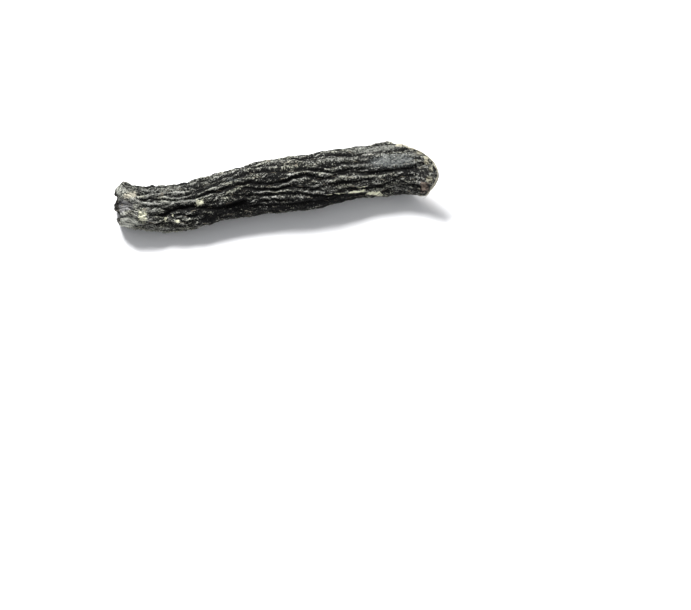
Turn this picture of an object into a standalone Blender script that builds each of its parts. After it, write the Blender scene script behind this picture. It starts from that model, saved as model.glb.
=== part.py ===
"""A dried comfrey root, lying on its side: one grown piece, thick and cut slantwise at its crown end,
thinner and torn into two lobes at the other, with long wavy furrows in its bark."""

import math

import bpy
import numpy as np

MM = 0.001

# The root is described as seen by somebody looking down on it at VIEW_SLANT above the horizon.
# "Along" runs from the torn end to the cut end, and "up" is up across that view, both in millimetres.
VIEW_SLANT = math.radians(60)

# The upper and lower edge of the root in that view, as (along, up).
UPPER_EDGE = [
    (-3, 3.0), (0, 4.9), (2.2, 6.5), (4.6, 8.2), (6.5, 7.5), (9, 6.6), (12, 6.0), (16, 5.7), (21, 5.3),
    (26, 5.5), (33, 6.5), (42, 8.4), (51, 9.9), (59, 10.9), (67, 11.5), (74, 11.8), (82, 12.8), (87, 12.3),
    (94, 12.5),
    (101, 13.4), (106, 13.3), (113, 12.7), (118, 12.0), (123, 11.6),
]
LOWER_EDGE = [
    (-3, -5.6), (0, -7.2), (1.3, -8.0), (3, -8.9), (7, -10.4), (12, -11.4), (18, -11.7), (23, -11.9),
    (33, -11.2),
    (42, -10.2), (50, -9.5), (56, -8.9), (64, -8.8), (73, -8.8), (80, -8.2), (88, -7.4), (96, -6.8),
    (102, -6.5), (109, -6.9), (112, -7.4), (115, -8.4), (118, -8.9), (123, -9.1),
]
FLATNESS = 0.86  # how thick the root is from floor to top, as a share of its width on the floor

# The crown end is cut through on a slant, and the face is turned away from the view and a little warped.
CUT_MIDDLE = 107.6
CUT_LEAN_NEAR = 11.5  # how far the near lip stands out beyond the middle of the face
CUT_LEAN_LOW = 6.7  # how far the lower lip does
CUT_WARP = 2.1
CUT_WAVE = 1.5
CUT_BLUNT = (math.radians(88), 0.9, math.radians(18))  # where, how far, how wide its tip is blunted
CUT_LEAN_START = 66.0  # from here on the mesh rings lean over towards the cut
CUT_EDGE = 0.7  # how far the bark turns in at the rim
CUT_EDGE_SHARE = 0.975
CUT_DISH = 1.3  # how deep the dried face has sunk inside its bark
CUT_RING = 0.35  # the raised ring of wood inside the face
CUT_RING_AT = 0.60
CUT_RING_WIDTH = 0.10
CUT_CRACKS = 5
CUT_CRACK_DEPTH = 0.5
CUT_CRACK_WIDTH = 0.16
CUT_CRACK_START = (0.05, 0.30)  # shares of the way out over which a crack opens, and closes again
CUT_CRACK_END = (0.50, 0.75)

# The torn end is blunt. It has an upper and a lower lobe with a hollow between them on the near side, and
# two notches right across it.
TORN_ROUND = 2.0
TORN_FULLNESS = 0.5  # 1 is a round end, and less is a squarer one
TORN_EVEN_REACH = 0.5  # the lobes' average height, which doesn't add to the length
TORN_MIDDLE_REACH = 0.25  # what is left of the lobes in the middle of the end
TORN_LOBES = [(math.radians(44), 0.9, math.radians(30)), (math.radians(150), 0.3, math.radians(26)),
              (math.radians(275), 0.8, math.radians(60))]
TORN_NOTCHES = [(1.9, 1.8, 1.5), (-4.1, 1.8, 1.8)]  # up, half height, depth
TORN_HOLLOW = (1.0, -0.9)  # the middle of the hollow between the lobes, as (along, up)
TORN_HOLLOW_REACH = (8.0, 3.3)
TORN_HOLLOW_DEPTH = 2.3
TORN_HOLLOW_EDGE = 0.55  # where its floor starts to rise, as a share of the way out

# What the root rests on: its belly is low in two places and a little clear of the floor elsewhere.
BELLY_LIFT = [(-3, 1.5), (6, 0.9), (14, 0.15), (30, 0.0), (45, 0.3), (62, 0.45), (78, 0.15), (88, 0.0),
              (100, 0.1), (110, 0.5), (123, 1.0)]
BELLY_FLAT = 0.8  # how much of the lowest ridges is worn flat

FURROW_DEPTH = 1.35  # of the main furrows, against the depths given for them below
FURROW_FADE = 4.0
FURROW_RUN_OUT = 1.0  # how far each one runs on beyond the places listed
FURROW_SHARPNESS = 1.4
FURROW_TROUGH = 0.32  # the share of a furrow's depth that is a wide soft trough round its sharp valley
FURROW_TROUGH_WIDTH = 2.3
RIDGE_FULLNESS = 0.2  # how far the ridges between the furrows stand out beyond the edges listed above

# The furrows that can be followed by eye on the near side: (depth, half width, [(along, up), ...]).
NEAR_FURROWS = [
    (0.9, 1.3, [(74, 10.6), (80, 10.0), (92, 9.4), (96, 10.2), (104, 9.8), (111, 10.2)]),
    (0.6, 1.0, [(63, 8.2), (67, 8.9), (71, 9.5), (76, 9.4), (81, 8.4)]),
    (1.0, 1.3, [(76, 6.4), (82, 6.1), (88, 6.7), (92, 6.3), (97, 6.9), (101, 7.6)]),
    (0.5, 1.0, [(51, 8.3), (57, 8.4), (64, 8.2)]),
    (0.9, 1.3, [(7, 3.2), (12, 3.0), (20, 3.1), (27, 2.8), (33, 4.0), (42, 6.0), (48, 7.4)]),
    (0.7, 1.0, [(10, 4.9), (18, 4.7), (28, 4.8), (36, 5.9)]),
    (1.2, 1.5, [(13, 2.2), (17, 1.5), (20, 1.9), (23, 1.1), (32, 2.4), (41, 4.4), (51, 6.7), (62, 6.3),
                (71, 6.2), (77, 5.0), (81, 3.8), (88, 4.0), (95, 4.1)]),
    (1.3, 1.5, [(24, -0.8), (32, 0.3), (41, 1.7), (51, 3.0), (55, 2.4), (63, 2.4), (67, 3.3), (71, 4.0),
                (74, 2.6), (77, 1.7), (84, 2.8), (89, 3.1), (94, 2.4), (102, 2.2), (110, 2.6), (117, 3.5)]),
    (1.1, 1.3, [(46, 1.2), (54, 0.4), (59, -0.7), (64, 0.0), (70, -0.9), (75, -1.9), (78, -0.8), (84, -0.4),
                (92, -0.6), (97, -0.2)]),
    (0.5, 1.2, [(101, -0.2), (108, -0.7), (114, -0.2)]),
    (0.9, 1.2, [(42, -1.2), (50, -2.0), (59, -2.5), (66, -2.7), (71, -3.4), (77, -4.8), (87, -4.9)]),
    (0.8, 1.1, [(84, -2.9), (90, -3.1), (95, -3.6), (99, -3.2), (103, -1.8), (107, -1.2)]),
    (1.0, 1.5, [(98, -5.8), (102, -4.9), (106, -4.0), (112, -4.2), (117, -5.0)]),
    (1.7, 2.7, [(16, -6.6), (19, -5.5), (22, -4.2), (26, -3.7), (30, -3.9), (34, -5.0), (42, -5.0),
                (50, -4.2)]),
    (0.8, 1.1, [(9, 0.6), (13, 0.7), (17, 0.1), (22, -0.8), (27, -0.3)]),
    (0.7, 1.1, [(9, -2.0), (13, -2.0), (16, -2.7), (20, -1.6), (23, -0.6)]),
    (0.8, 1.2, [(11, -4.5), (14, -5.2), (17, -6.0), (22, -6.4), (27, -7.4), (35, -7.6)]),
    (0.8, 1.2, [(4, -5.0), (7, -6.2), (10, -8.0), (15, -9.3), (22, -9.8)]),
    (0.7, 1.1, [(48, -6.3), (56, -6.0), (65, -6.5), (73, -6.4), (80, -7.0)]),
    (0.6, 1.1, [(52, -4.4), (60, -4.7), (67, -5.2)]),
]

# The other furrows follow a rule: lanes round the root, each with one furrow after another, that wander
# together and bend towards the next lane where they end. Each set is (first turn, last turn, lanes,
# shortest and longest, shallowest and deepest, narrowest and widest half, seed).
FAR_FURROWS = (math.radians(170), math.radians(374), 12, (24.0, 52.0), (0.7, 1.3), (1.1, 1.7), 41)
FINE_FOLDS = (0.0, math.radians(346), 25, (9.0, 26.0), (0.12, 0.38), (0.8, 1.2), 7)
LANE_START = (-12.0, 8.0)
LANE_WANDER = [(0.10, 34.0, 1.0), (0.05, 13.0, 2.0)]
LANE_STRAY = 0.15  # how far off its lane's middle a furrow may lie, as a share of the lane
LANE_BEND = 0.8
LANE_BEND_LENGTH = 12.0
OWN_WANDER = 0.04
OWN_WANDER_LENGTH = (9.0, 15.0)
FURROW_OVERLAP = (3.0, 9.0)  # how far back from a furrow's end the next one in the lane starts

# Slow swellings of the whole root: (size, how many round the root, millimetres for one along it, start).
SWELLINGS = [(0.22, 1, 47.0, 0.4), (0.20, 2, 38.0, 2.1), (0.16, 3, 27.0, 4.0), (0.10, 5, 19.0, 1.2),
             (0.07, 7, 13.0, 5.1)]

# How finely the solid is made.
AROUND = 90
RINGS = 52
TORN_CAP_RINGS = 6
CUT_CAP_SHARES = (0.93, 0.80, 0.64, 0.48, 0.30, 0.14)


def curve(points, at):
    """The height of the smooth curve through these points, at each place along it."""
    x, y = np.array(points, float).T
    slope = np.gradient(y, x)
    at = np.clip(at, x[0], x[-1])
    i = np.clip(np.searchsorted(x, at) - 1, 0, len(x) - 2)
    step = x[i + 1] - x[i]
    t = (at - x[i]) / step
    return (
        (2 * t**3 - 3 * t**2 + 1) * y[i]
        + (t**3 - 2 * t**2 + t) * step * slope[i]
        + (3 * t**2 - 2 * t**3) * y[i + 1]
        + (t**3 - t**2) * step * slope[i + 1]
    )


def smooth_step(low, high, at):
    """0 below low, 1 above high, and a smooth rise between them."""
    t = np.clip((at - low) / (high - low), 0, 1)
    return t * t * (3 - 2 * t)


def turn_apart(turn, other):
    """The shorter way round from one turn to another, with its sign."""
    return (turn - other + math.pi) % (2 * math.pi) - math.pi


def bump(turn, middle, width):
    """A soft rise round the root, 1 at its middle."""
    return np.exp(-((turn_apart(turn, middle) / width) ** 2))


def middle_and_half(along):
    """The middle line's height in the slanting view, and half the root's width there."""
    upper = curve(UPPER_EDGE, along)
    lower = curve(LOWER_EDGE, along)
    return (upper + lower) / 2, (upper - lower) / 2


def sag_of_furrow(along, turn, half, path_turn, start, end, depth, half_width):
    """How deep one furrow cuts at each place: a sharp valley in a soft trough, fading at its ends."""
    across = np.abs(turn_apart(turn, path_turn)) * half / half_width
    fade = smooth_step(start, start + FURROW_FADE, along) * (1 - smooth_step(end - FURROW_FADE, end, along))
    valley = np.clip(1 - across, 0, 1) ** FURROW_SHARPNESS
    trough = np.clip(1 - across / FURROW_TROUGH_WIDTH, 0, 1) ** 2
    return depth * fade * ((1 - FURROW_TROUGH) * valley + FURROW_TROUGH * trough)


def near_furrows(along, turn, middle, half):
    """The deepest of the furrows followed by eye, at each place."""
    deepest = np.zeros_like(along)
    for depth, half_width, path in NEAR_FURROWS:
        path_turn = np.arccos(np.clip((curve(path, along) - middle) / half, -1, 1))
        start = path[0][0] - FURROW_RUN_OUT
        end = path[-1][0] + FURROW_RUN_OUT
        sag = sag_of_furrow(along, turn, half, path_turn, start, end, depth, half_width)
        deepest = np.maximum(deepest, sag)
    return deepest


def waves(along, parts):
    return sum(size * np.sin(2 * math.pi * along / length + start) for size, length, start in parts)


def lane_furrows(along, turn, half, furrow_set):
    """The deepest of one set of furrows that follow the rule, at each place."""
    first_turn, last_turn, lanes, lengths, depths, half_widths, seed = furrow_set
    draw = np.random.RandomState(seed)
    deepest = np.zeros_like(along)
    lane_width = (last_turn - first_turn) / lanes
    together = waves(along, LANE_WANDER)
    for lane in range(lanes + 1):
        start = draw.uniform(*LANE_START)
        while start < CUT_MIDDLE + CUT_LEAN_NEAR:
            end = start + draw.uniform(*lengths)
            lane_turn = first_turn + (lane + draw.uniform(-LANE_STRAY, LANE_STRAY)) * lane_width
            bends = draw.choice([-1, 1], 2) * lane_width * LANE_BEND
            own_start = draw.uniform(0, 2 * math.pi)
            own = waves(along, [(OWN_WANDER, draw.uniform(*OWN_WANDER_LENGTH), own_start)])
            path_turn = (
                lane_turn
                + together
                + own
                + bends[0] * (1 - smooth_step(start, start + LANE_BEND_LENGTH, along))
                + bends[1] * smooth_step(end - LANE_BEND_LENGTH, end, along)
            )
            depth = draw.uniform(*depths)
            half_width = draw.uniform(*half_widths)
            sag = sag_of_furrow(along, turn, half, path_turn, start, end, depth, half_width)
            deepest = np.maximum(deepest, sag)
            start = end - draw.uniform(*FURROW_OVERLAP)
    return deepest


def swelling(along, turn):
    """Slow rises and falls of the whole surface, in millimetres."""
    return sum(
        size * np.cos(count * turn + 2 * math.pi * along / length + start)
        for size, count, length, start in SWELLINGS
    )


def torn_hollow(along, turn, middle, half):
    """How deep the hollow between the torn end's two lobes is."""
    up = middle + half * np.cos(turn)
    away = [(at - hollow) / reach for at, hollow, reach in zip((along, up), TORN_HOLLOW, TORN_HOLLOW_REACH)]
    near_side = smooth_step(0.1, 0.35, np.sin(turn))
    return TORN_HOLLOW_DEPTH * (1 - smooth_step(TORN_HOLLOW_EDGE, 1.0, np.hypot(*away))) * near_side


def torn_notches(along, turn, share):
    """How far the notches across the torn end cut in."""
    middle, half = middle_and_half(along)
    up = middle + half * share * np.cos(turn)
    return sum(depth * np.clip(1 - ((up - at) / reach) ** 2, 0, 1) for at, reach, depth in TORN_NOTCHES)


def surface(along, turn, share):
    """Points of the root's outside in millimetres, as x along the root, y across the floor and z above it.
    The share is 1 on the bark and falls to 0 towards the root's middle line."""
    middle, half = middle_and_half(along)
    width = half / math.hypot(math.sin(VIEW_SLANT), math.cos(VIEW_SLANT) * FLATNESS)
    thickness = width * FLATNESS
    tilt = math.atan2(math.cos(VIEW_SLANT) * FLATNESS, math.sin(VIEW_SLANT))
    near = near_furrows(along, turn, middle, half)
    far = lane_furrows(along, turn, half, FAR_FURROWS)
    fine = lane_furrows(along, turn, half, FINE_FOLDS)
    relief = RIDGE_FULLNESS + swelling(along, turn) - torn_hollow(along, turn, middle, half)
    relief = relief - FURROW_DEPTH * np.maximum(near, far) - fine
    angle = turn + tilt
    across = np.cos(angle) / width
    upward = np.sin(angle) / thickness
    steep = np.hypot(across, upward)
    centre_height = thickness + curve(BELLY_LIFT, along)
    centre_across = (middle - math.cos(VIEW_SLANT) * centre_height) / math.sin(VIEW_SLANT)
    y = centre_across + share * (width * np.cos(angle) + relief * across / steep)
    z = centre_height + share * (thickness * np.sin(angle) + relief * upward / steep)
    return np.stack([along, y, z], axis=-1)


def cut_lean(turn):
    """How far the cut's rim stands out along the root at each turn, from the middle of the face."""
    middle, blunted, width = CUT_BLUNT
    return (
        CUT_LEAN_NEAR * np.sin(turn) - CUT_LEAN_LOW * np.cos(turn)
        + CUT_WARP * np.sin(2 * turn) - CUT_WAVE * np.sin(3 * turn)
        - blunted * bump(turn, middle, width)
    )


def torn_reach(turn):
    """How far the torn end's lobes stand out beyond the rest of it."""
    return sum(reach * bump(turn, middle, width) for middle, reach, width in TORN_LOBES)


def cut_face_relief(turn, share):
    """The dried cut face: sunk in the middle, with a raised ring of wood and a few cracks outwards."""
    dish = CUT_DISH * (1 - share**2)
    ring = CUT_RING * math.exp(-(((share - CUT_RING_AT) / CUT_RING_WIDTH) ** 2))
    crack_turns = [2 * math.pi * (k + 0.25 * math.sin(5 * k)) / CUT_CRACKS for k in range(CUT_CRACKS)]
    cracks = CUT_CRACK_DEPTH * sum(bump(turn, middle, CUT_CRACK_WIDTH) for middle in crack_turns)
    opening = smooth_step(*CUT_CRACK_START, share) * (1 - smooth_step(*CUT_CRACK_END, share))
    return ring - dish - cracks * opening


def torn_cap(turn):
    """The rings that close the torn end, from its middle outwards."""
    rings = []
    for quarter in np.linspace(math.pi / 2, 0, TORN_CAP_RINGS + 1)[:-1]:
        share = math.cos(quarter) ** TORN_FULLNESS
        out = math.sin(quarter) ** TORN_FULLNESS
        lobes = (torn_reach(turn) - TORN_EVEN_REACH) * (TORN_MIDDLE_REACH + (1 - TORN_MIDDLE_REACH) * share)
        along = TORN_ROUND * (1 - out) - lobes * out
        rings.append(surface(along + torn_notches(along, turn, share) * out, turn, share))
    return rings


def side(turn):
    """The rings of the bark, upright at the torn end and leaning with the cut at the other."""
    lean = cut_lean(turn)
    rings = []
    for along in np.linspace(TORN_ROUND, CUT_MIDDLE - CUT_EDGE, RINGS):
        rings.append(surface(along + lean * smooth_step(CUT_LEAN_START, CUT_MIDDLE, along), turn, 1.0))
    rings.append(surface(CUT_MIDDLE + lean, turn, CUT_EDGE_SHARE))
    return rings


def cut_cap(rim, turn):
    """The rings of the cut face, drawn in from its rim to its middle."""
    middle = rim.mean(axis=0)
    rings = []
    for share in CUT_CAP_SHARES:
        ring = middle + (rim - middle) * share
        ring[:, 0] += cut_face_relief(turn, share)
        rings.append(ring)
    return rings


def skin_faces(rings):
    """Triangles between neighbouring rings, split so that their edges follow the furrows, and a fan at each
    end. The torn end's middle and the cut end's middle are the last two points."""
    count, around = rings.shape[:2]
    reach = np.linalg.norm(rings - rings.mean(axis=1, keepdims=True), axis=2)
    faces = []
    for i in range(count - 1):
        for j in range(around):
            k = (j + 1) % around
            a, b, c, d = i * around + j, i * around + k, (i + 1) * around + k, (i + 1) * around + j
            if abs(reach[i, j] - reach[i + 1, k]) < abs(reach[i, k] - reach[i + 1, j]):
                faces += [(a, b, c), (a, c, d)]
            else:
                faces += [(a, b, d), (b, c, d)]
    torn_middle = count * around
    last = (count - 1) * around
    for j in range(around):
        k = (j + 1) % around
        faces.append((torn_middle, k, j))
        faces.append((torn_middle + 1, last + j, last + k))
    return faces


def build_root():
    turn = np.arange(AROUND) * 2 * math.pi / AROUND
    torn_rings = torn_cap(turn)
    side_rings = side(turn)
    rings = np.array(torn_rings[1:] + side_rings + cut_cap(side_rings[-1], turn))
    torn_middle = torn_rings[0].mean(axis=0)
    cut_middle = side_rings[-1].mean(axis=0) + [cut_face_relief(turn, 0).mean(), 0, 0]
    points = np.concatenate([rings.reshape(-1, 3), [torn_middle, cut_middle]])
    points[:, 2] = np.maximum(points[:, 2] - points[:, 2].min() - BELLY_FLAT, 0)
    points[:, :2] -= (points[:, :2].min(axis=0) + points[:, :2].max(axis=0)) / 2
    mesh = bpy.data.meshes.new("comfrey_root")
    mesh.from_pydata((points * MM).tolist(), [], skin_faces(rings))
    mesh.shade_smooth()
    mesh.set_sharp_from_angle(angle=math.radians(50))
    root = bpy.data.objects.new("comfrey_root", mesh)
    bpy.context.scene.collection.objects.link(root)
    root.data.materials.append(bark_material())


def bark_material():
    """Dry, almost black bark."""
    material = bpy.data.materials.new("dry_root_bark")
    material.use_nodes = True
    shader = material.node_tree.nodes["Principled BSDF"]
    shader.inputs["Base Color"].default_value = (0.030, 0.029, 0.026, 1)
    shader.inputs["Roughness"].default_value = 0.75
    shader.inputs["Metallic"].default_value = 0
    return material


for leftover in list(bpy.data.objects):
    bpy.data.objects.remove(leftover)
build_root()
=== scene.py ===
# %% [markdown]
# # A dried comfrey root
# Comfrey is dug up for its black, fleshy root. As a piece of it dries, the flesh shrinks and the bark,
# which can't, falls into deep folds along the root. This lesson makes one such piece in Blender, about
# twelve centimetres long: thick and cut slantwise at the crown end, thin and torn at the other.
#
# The plain solid of the root comes from the part's own CAD model. Here it gets a finer skin of the same
# form, with the small wrinkles, torn fibres and colours that the plain solid doesn't have.

# %% Load the plain solid
import math

import bpy
import numpy as np
from mathutils import Matrix, Vector


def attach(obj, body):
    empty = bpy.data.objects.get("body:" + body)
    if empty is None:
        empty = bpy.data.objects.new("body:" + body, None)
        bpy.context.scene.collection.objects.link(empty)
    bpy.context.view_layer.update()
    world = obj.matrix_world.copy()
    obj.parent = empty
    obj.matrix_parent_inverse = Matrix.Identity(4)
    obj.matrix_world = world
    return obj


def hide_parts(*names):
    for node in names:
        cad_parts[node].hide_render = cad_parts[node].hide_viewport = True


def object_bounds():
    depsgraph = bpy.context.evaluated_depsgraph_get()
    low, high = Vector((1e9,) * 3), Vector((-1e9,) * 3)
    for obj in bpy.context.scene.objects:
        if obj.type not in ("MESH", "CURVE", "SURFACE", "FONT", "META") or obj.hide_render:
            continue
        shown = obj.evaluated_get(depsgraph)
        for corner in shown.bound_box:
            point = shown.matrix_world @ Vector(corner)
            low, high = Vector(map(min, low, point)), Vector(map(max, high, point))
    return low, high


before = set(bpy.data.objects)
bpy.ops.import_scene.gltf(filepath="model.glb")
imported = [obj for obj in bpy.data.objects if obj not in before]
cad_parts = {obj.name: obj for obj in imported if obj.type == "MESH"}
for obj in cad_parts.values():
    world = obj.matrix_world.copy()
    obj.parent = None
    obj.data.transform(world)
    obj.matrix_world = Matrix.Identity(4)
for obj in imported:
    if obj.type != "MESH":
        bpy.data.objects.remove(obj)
cad_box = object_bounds()
MM = 0.001
NODE = "comfrey_root"
print("the plain solid measures", [round((b - a) / MM, 1) for a, b in zip(*cad_box)], "mm")

# %% [markdown]
# ## The camera
# The picture looks down on the root at about sixty degrees, as somebody does who leans over a table. The
# root lies across the upper left of the frame and rises a little to the right, so the camera stands a few
# degrees round to one side, and looks at a place on the floor that is nearer and further right.

# %% Place the camera
FRAME_PIXELS = (691, 610)
LENS_MM = 200.0  # a long lens, since the picture shows hardly any perspective
SENSOR_MM = 36.0
VIEW_SLANT = math.radians(60)
VIEW_TURN = math.radians(-6.6)
MM_PER_PIXEL = 0.37
ROOT_PIXEL = (274.8, 185.3)  # where the middle of the root falls in the picture

look_from = Vector((
    math.sin(VIEW_TURN) * math.cos(VIEW_SLANT),
    -math.cos(VIEW_TURN) * math.cos(VIEW_SLANT),
    math.sin(VIEW_SLANT),
))
picture_right = Vector((math.cos(VIEW_TURN), math.sin(VIEW_TURN), 0))
picture_up = look_from.cross(picture_right)
distance = MM_PER_PIXEL * MM * FRAME_PIXELS[0] * LENS_MM / SENSOR_MM
across = (FRAME_PIXELS[0] / 2 - ROOT_PIXEL[0]) * MM_PER_PIXEL * MM
down = (FRAME_PIXELS[1] / 2 - ROOT_PIXEL[1]) * MM_PER_PIXEL * MM
root_middle = Vector([(a + b) / 2 for a, b in zip(*cad_box)])
aim = root_middle + picture_right * across - picture_up * down

camera_data = bpy.data.cameras.new("camera")
camera_data.lens = LENS_MM
camera_data.sensor_width = SENSOR_MM
camera_data.clip_start = 0.01
camera = bpy.data.objects.new("camera", camera_data)
bpy.context.scene.collection.objects.link(camera)
camera.matrix_world = Matrix.Translation(aim + look_from * distance) @ Matrix(
    (picture_right, picture_up, look_from)
).transposed().to_4x4()
bpy.context.scene.camera = camera
print("the camera stands", round(distance / MM), "mm from the root")

# %% [markdown]
# ## The form of the root
# A root like this is a bent, slightly flattened tube, so it can be made from rings of points round a
# wandering middle line. The outline is given the way it is easiest to measure on a picture: by the upper
# and lower edge of the root as the camera sees them, in millimetres, against the distance along the root.

# %% Describe the outline
UPPER_EDGE = [
    (-3, 3.0), (0, 4.9), (2.2, 6.5), (4.6, 8.2), (6.5, 7.5), (9, 6.6), (12, 6.0), (16, 5.7), (21, 5.3),
    (26, 5.5), (33, 6.5), (42, 8.4), (51, 9.9), (59, 10.9), (67, 11.5), (74, 11.8), (82, 12.8), (87, 12.3),
    (94, 12.5), (101, 13.4), (106, 13.3), (113, 12.7), (118, 12.0), (123, 11.6),
]
LOWER_EDGE = [
    (-3, -5.6), (0, -7.2), (1.3, -8.0), (3, -8.9), (7, -10.4), (12, -11.4), (18, -11.7), (23, -11.9),
    (33, -11.2), (42, -10.2), (50, -9.5), (56, -8.9), (64, -8.8), (73, -8.8), (80, -8.2), (88, -7.4),
    (96, -6.8), (102, -6.5), (109, -6.9), (112, -7.4), (115, -8.4), (118, -8.9), (123, -9.1),
]
FLATNESS = 0.86  # how thick the root is from floor to top, as a share of its width on the floor
BELLY_LIFT = [
    (-3, 1.5), (6, 0.9), (14, 0.15), (30, 0.0), (45, 0.3), (62, 0.45), (78, 0.15), (88, 0.0), (100, 0.1),
    (110, 0.5), (123, 1.0),
]  # how far the belly's middle line is off the floor, in millimetres, against the distance along the root
SWELLINGS = [
    (0.22, 1, 47.0, 0.4), (0.20, 2, 38.0, 2.1), (0.16, 3, 27.0, 4.0), (0.10, 5, 19.0, 1.2),
    (0.07, 7, 13.0, 5.1),
]  # size, how many round the root, millimetres for one along it, start


def curve(points, at):
    """The height of the smooth curve through these points, at each place along it.

    Between two points it is a cubic curve that leaves and arrives with the points' own slopes.
    """
    x, y = np.array(points, float).T
    slope = np.gradient(y, x)
    at = np.clip(at, x[0], x[-1])
    i = np.clip(np.searchsorted(x, at) - 1, 0, len(x) - 2)
    step = x[i + 1] - x[i]
    t = (at - x[i]) / step
    return (
        (2 * t**3 - 3 * t**2 + 1) * y[i]
        + (t**3 - 2 * t**2 + t) * step * slope[i]
        + (3 * t**2 - 2 * t**3) * y[i + 1]
        + (t**3 - t**2) * step * slope[i + 1]
    )


def smooth_step(low, high, at):
    """0 below low, 1 above high, and a smooth rise between them."""
    t = np.clip((at - low) / (high - low), 0, 1)
    return t * t * (3 - 2 * t)


def turn_apart(turn, other):
    """The shorter way round from one turn to another, with its sign."""
    return (turn - other + math.pi) % (2 * math.pi) - math.pi


def bump(turn, middle, width):
    """A soft rise round the root, 1 at its middle."""
    return np.exp(-((turn_apart(turn, middle) / width) ** 2))


def middle_and_half(along):
    """The middle line's height in the slanting view, and half the root's width there."""
    upper = curve(UPPER_EDGE, along)
    lower = curve(LOWER_EDGE, along)
    return (upper + lower) / 2, (upper - lower) / 2


def swelling(along, turn):
    """Slow rises and falls of the whole surface, in millimetres."""
    return sum(
        size * np.cos(count * turn + 2 * math.pi * along / length + start)
        for size, count, length, start in SWELLINGS
    )


middle, half = middle_and_half(np.linspace(0, 120, 25))
print("the root is", round(2 * half.min(), 1), "to", round(2 * half.max(), 1), "mm wide")

# %% [markdown]
# ## The furrows
# The bark's furrows run along the root, wander from side to side, fork and run into one another. The ones on
# the near side can be seen, so they are listed here as lines of points. The ones on the far side
# can't be seen, so they follow a rule: lanes round the root, with one furrow after another in each lane, that
# wander together and bend into the next lane at their ends.

# %% List and carve the furrows
FURROW_DEPTH = 1.35  # of the main furrows, against the depths given for them below
FURROW_FADE = 4.0  # how long a furrow takes to reach its depth at either end
FURROW_RUN_OUT = 1.0  # how far each one runs on beyond the places listed
FURROW_SHARPNESS = 1.4
FURROW_TROUGH = 0.32  # the share of a furrow's depth that is a wide soft trough round its sharp valley
FURROW_TROUGH_WIDTH = 2.3  # against the valley's width
RIDGE_FULLNESS = 0.2  # how far the ridges between the furrows stand out beyond the edges listed above
NEAR_FURROWS = [
    (0.9, 1.3, [(74, 10.6), (80, 10.0), (92, 9.4), (96, 10.2), (104, 9.8), (111, 10.2)]),
    (0.6, 1.0, [(63, 8.2), (67, 8.9), (71, 9.5), (76, 9.4), (81, 8.4)]),
    (1.0, 1.3, [(76, 6.4), (82, 6.1), (88, 6.7), (92, 6.3), (97, 6.9), (101, 7.6)]),
    (0.5, 1.0, [(51, 8.3), (57, 8.4), (64, 8.2)]),
    (0.9, 1.3, [(7, 3.2), (12, 3.0), (20, 3.1), (27, 2.8), (33, 4.0), (42, 6.0), (48, 7.4)]),
    (0.7, 1.0, [(10, 4.9), (18, 4.7), (28, 4.8), (36, 5.9)]),
    (1.2, 1.5, [(13, 2.2), (17, 1.5), (20, 1.9), (23, 1.1), (32, 2.4), (41, 4.4), (51, 6.7), (62, 6.3),
                (71, 6.2), (77, 5.0), (81, 3.8), (88, 4.0), (95, 4.1)]),
    (1.3, 1.5, [(24, -0.8), (32, 0.3), (41, 1.7), (51, 3.0), (55, 2.4), (63, 2.4), (67, 3.3), (71, 4.0),
                (74, 2.6), (77, 1.7), (84, 2.8), (89, 3.1), (94, 2.4), (102, 2.2), (110, 2.6), (117, 3.5)]),
    (1.1, 1.3, [(46, 1.2), (54, 0.4), (59, -0.7), (64, 0.0), (70, -0.9), (75, -1.9), (78, -0.8), (84, -0.4),
                (92, -0.6), (97, -0.2)]),
    (0.5, 1.2, [(101, -0.2), (108, -0.7), (114, -0.2)]),
    (0.9, 1.2, [(42, -1.2), (50, -2.0), (59, -2.5), (66, -2.7), (71, -3.4), (77, -4.8), (87, -4.9)]),
    (0.8, 1.1, [(84, -2.9), (90, -3.1), (95, -3.6), (99, -3.2), (103, -1.8), (107, -1.2)]),
    (1.0, 1.5, [(98, -5.8), (102, -4.9), (106, -4.0), (112, -4.2), (117, -5.0)]),
    (1.7, 2.7, [(16, -6.6), (19, -5.5), (22, -4.2), (26, -3.7), (30, -3.9), (34, -5.0), (42, -5.0),
                (50, -4.2)]),
    (0.8, 1.1, [(9, 0.6), (13, 0.7), (17, 0.1), (22, -0.8), (27, -0.3)]),
    (0.7, 1.1, [(9, -2.0), (13, -2.0), (16, -2.7), (20, -1.6), (23, -0.6)]),
    (0.8, 1.2, [(11, -4.5), (14, -5.2), (17, -6.0), (22, -6.4), (27, -7.4), (35, -7.6)]),
    (0.8, 1.2, [(4, -5.0), (7, -6.2), (10, -8.0), (15, -9.3), (22, -9.8)]),
    (0.7, 1.1, [(48, -6.3), (56, -6.0), (65, -6.5), (73, -6.4), (80, -7.0)]),
    (0.6, 1.1, [(52, -4.4), (60, -4.7), (67, -5.2)]),
]  # depth, half width, and the line itself as (along, up)

# Each set is (first turn, last turn, lanes, shortest and longest, shallowest and deepest, narrowest and
# widest half, seed).
FAR_FURROWS = (math.radians(170), math.radians(374), 12, (24.0, 52.0), (0.7, 1.3), (1.1, 1.7), 41)
FINE_FOLDS = (0.0, math.radians(346), 25, (9.0, 26.0), (0.12, 0.38), (0.8, 1.2), 7)
LANE_START = (-12.0, 8.0)
LANE_WANDER = [(0.10, 34.0, 1.0), (0.05, 13.0, 2.0)]  # size in radians, length in millimetres, start
LANE_STRAY = 0.15  # how far off its lane's middle a furrow may lie, as a share of the lane
LANE_BEND = 0.8  # how far its ends bend into the next lane, as a share of the lane
LANE_BEND_LENGTH = 12.0
OWN_WANDER = 0.04  # what each furrow wanders by itself, in radians
OWN_WANDER_LENGTH = (9.0, 15.0)
FURROW_OVERLAP = (3.0, 9.0)  # how far back from a furrow's end the next one in the lane starts
LANES_END = 119.0


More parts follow.
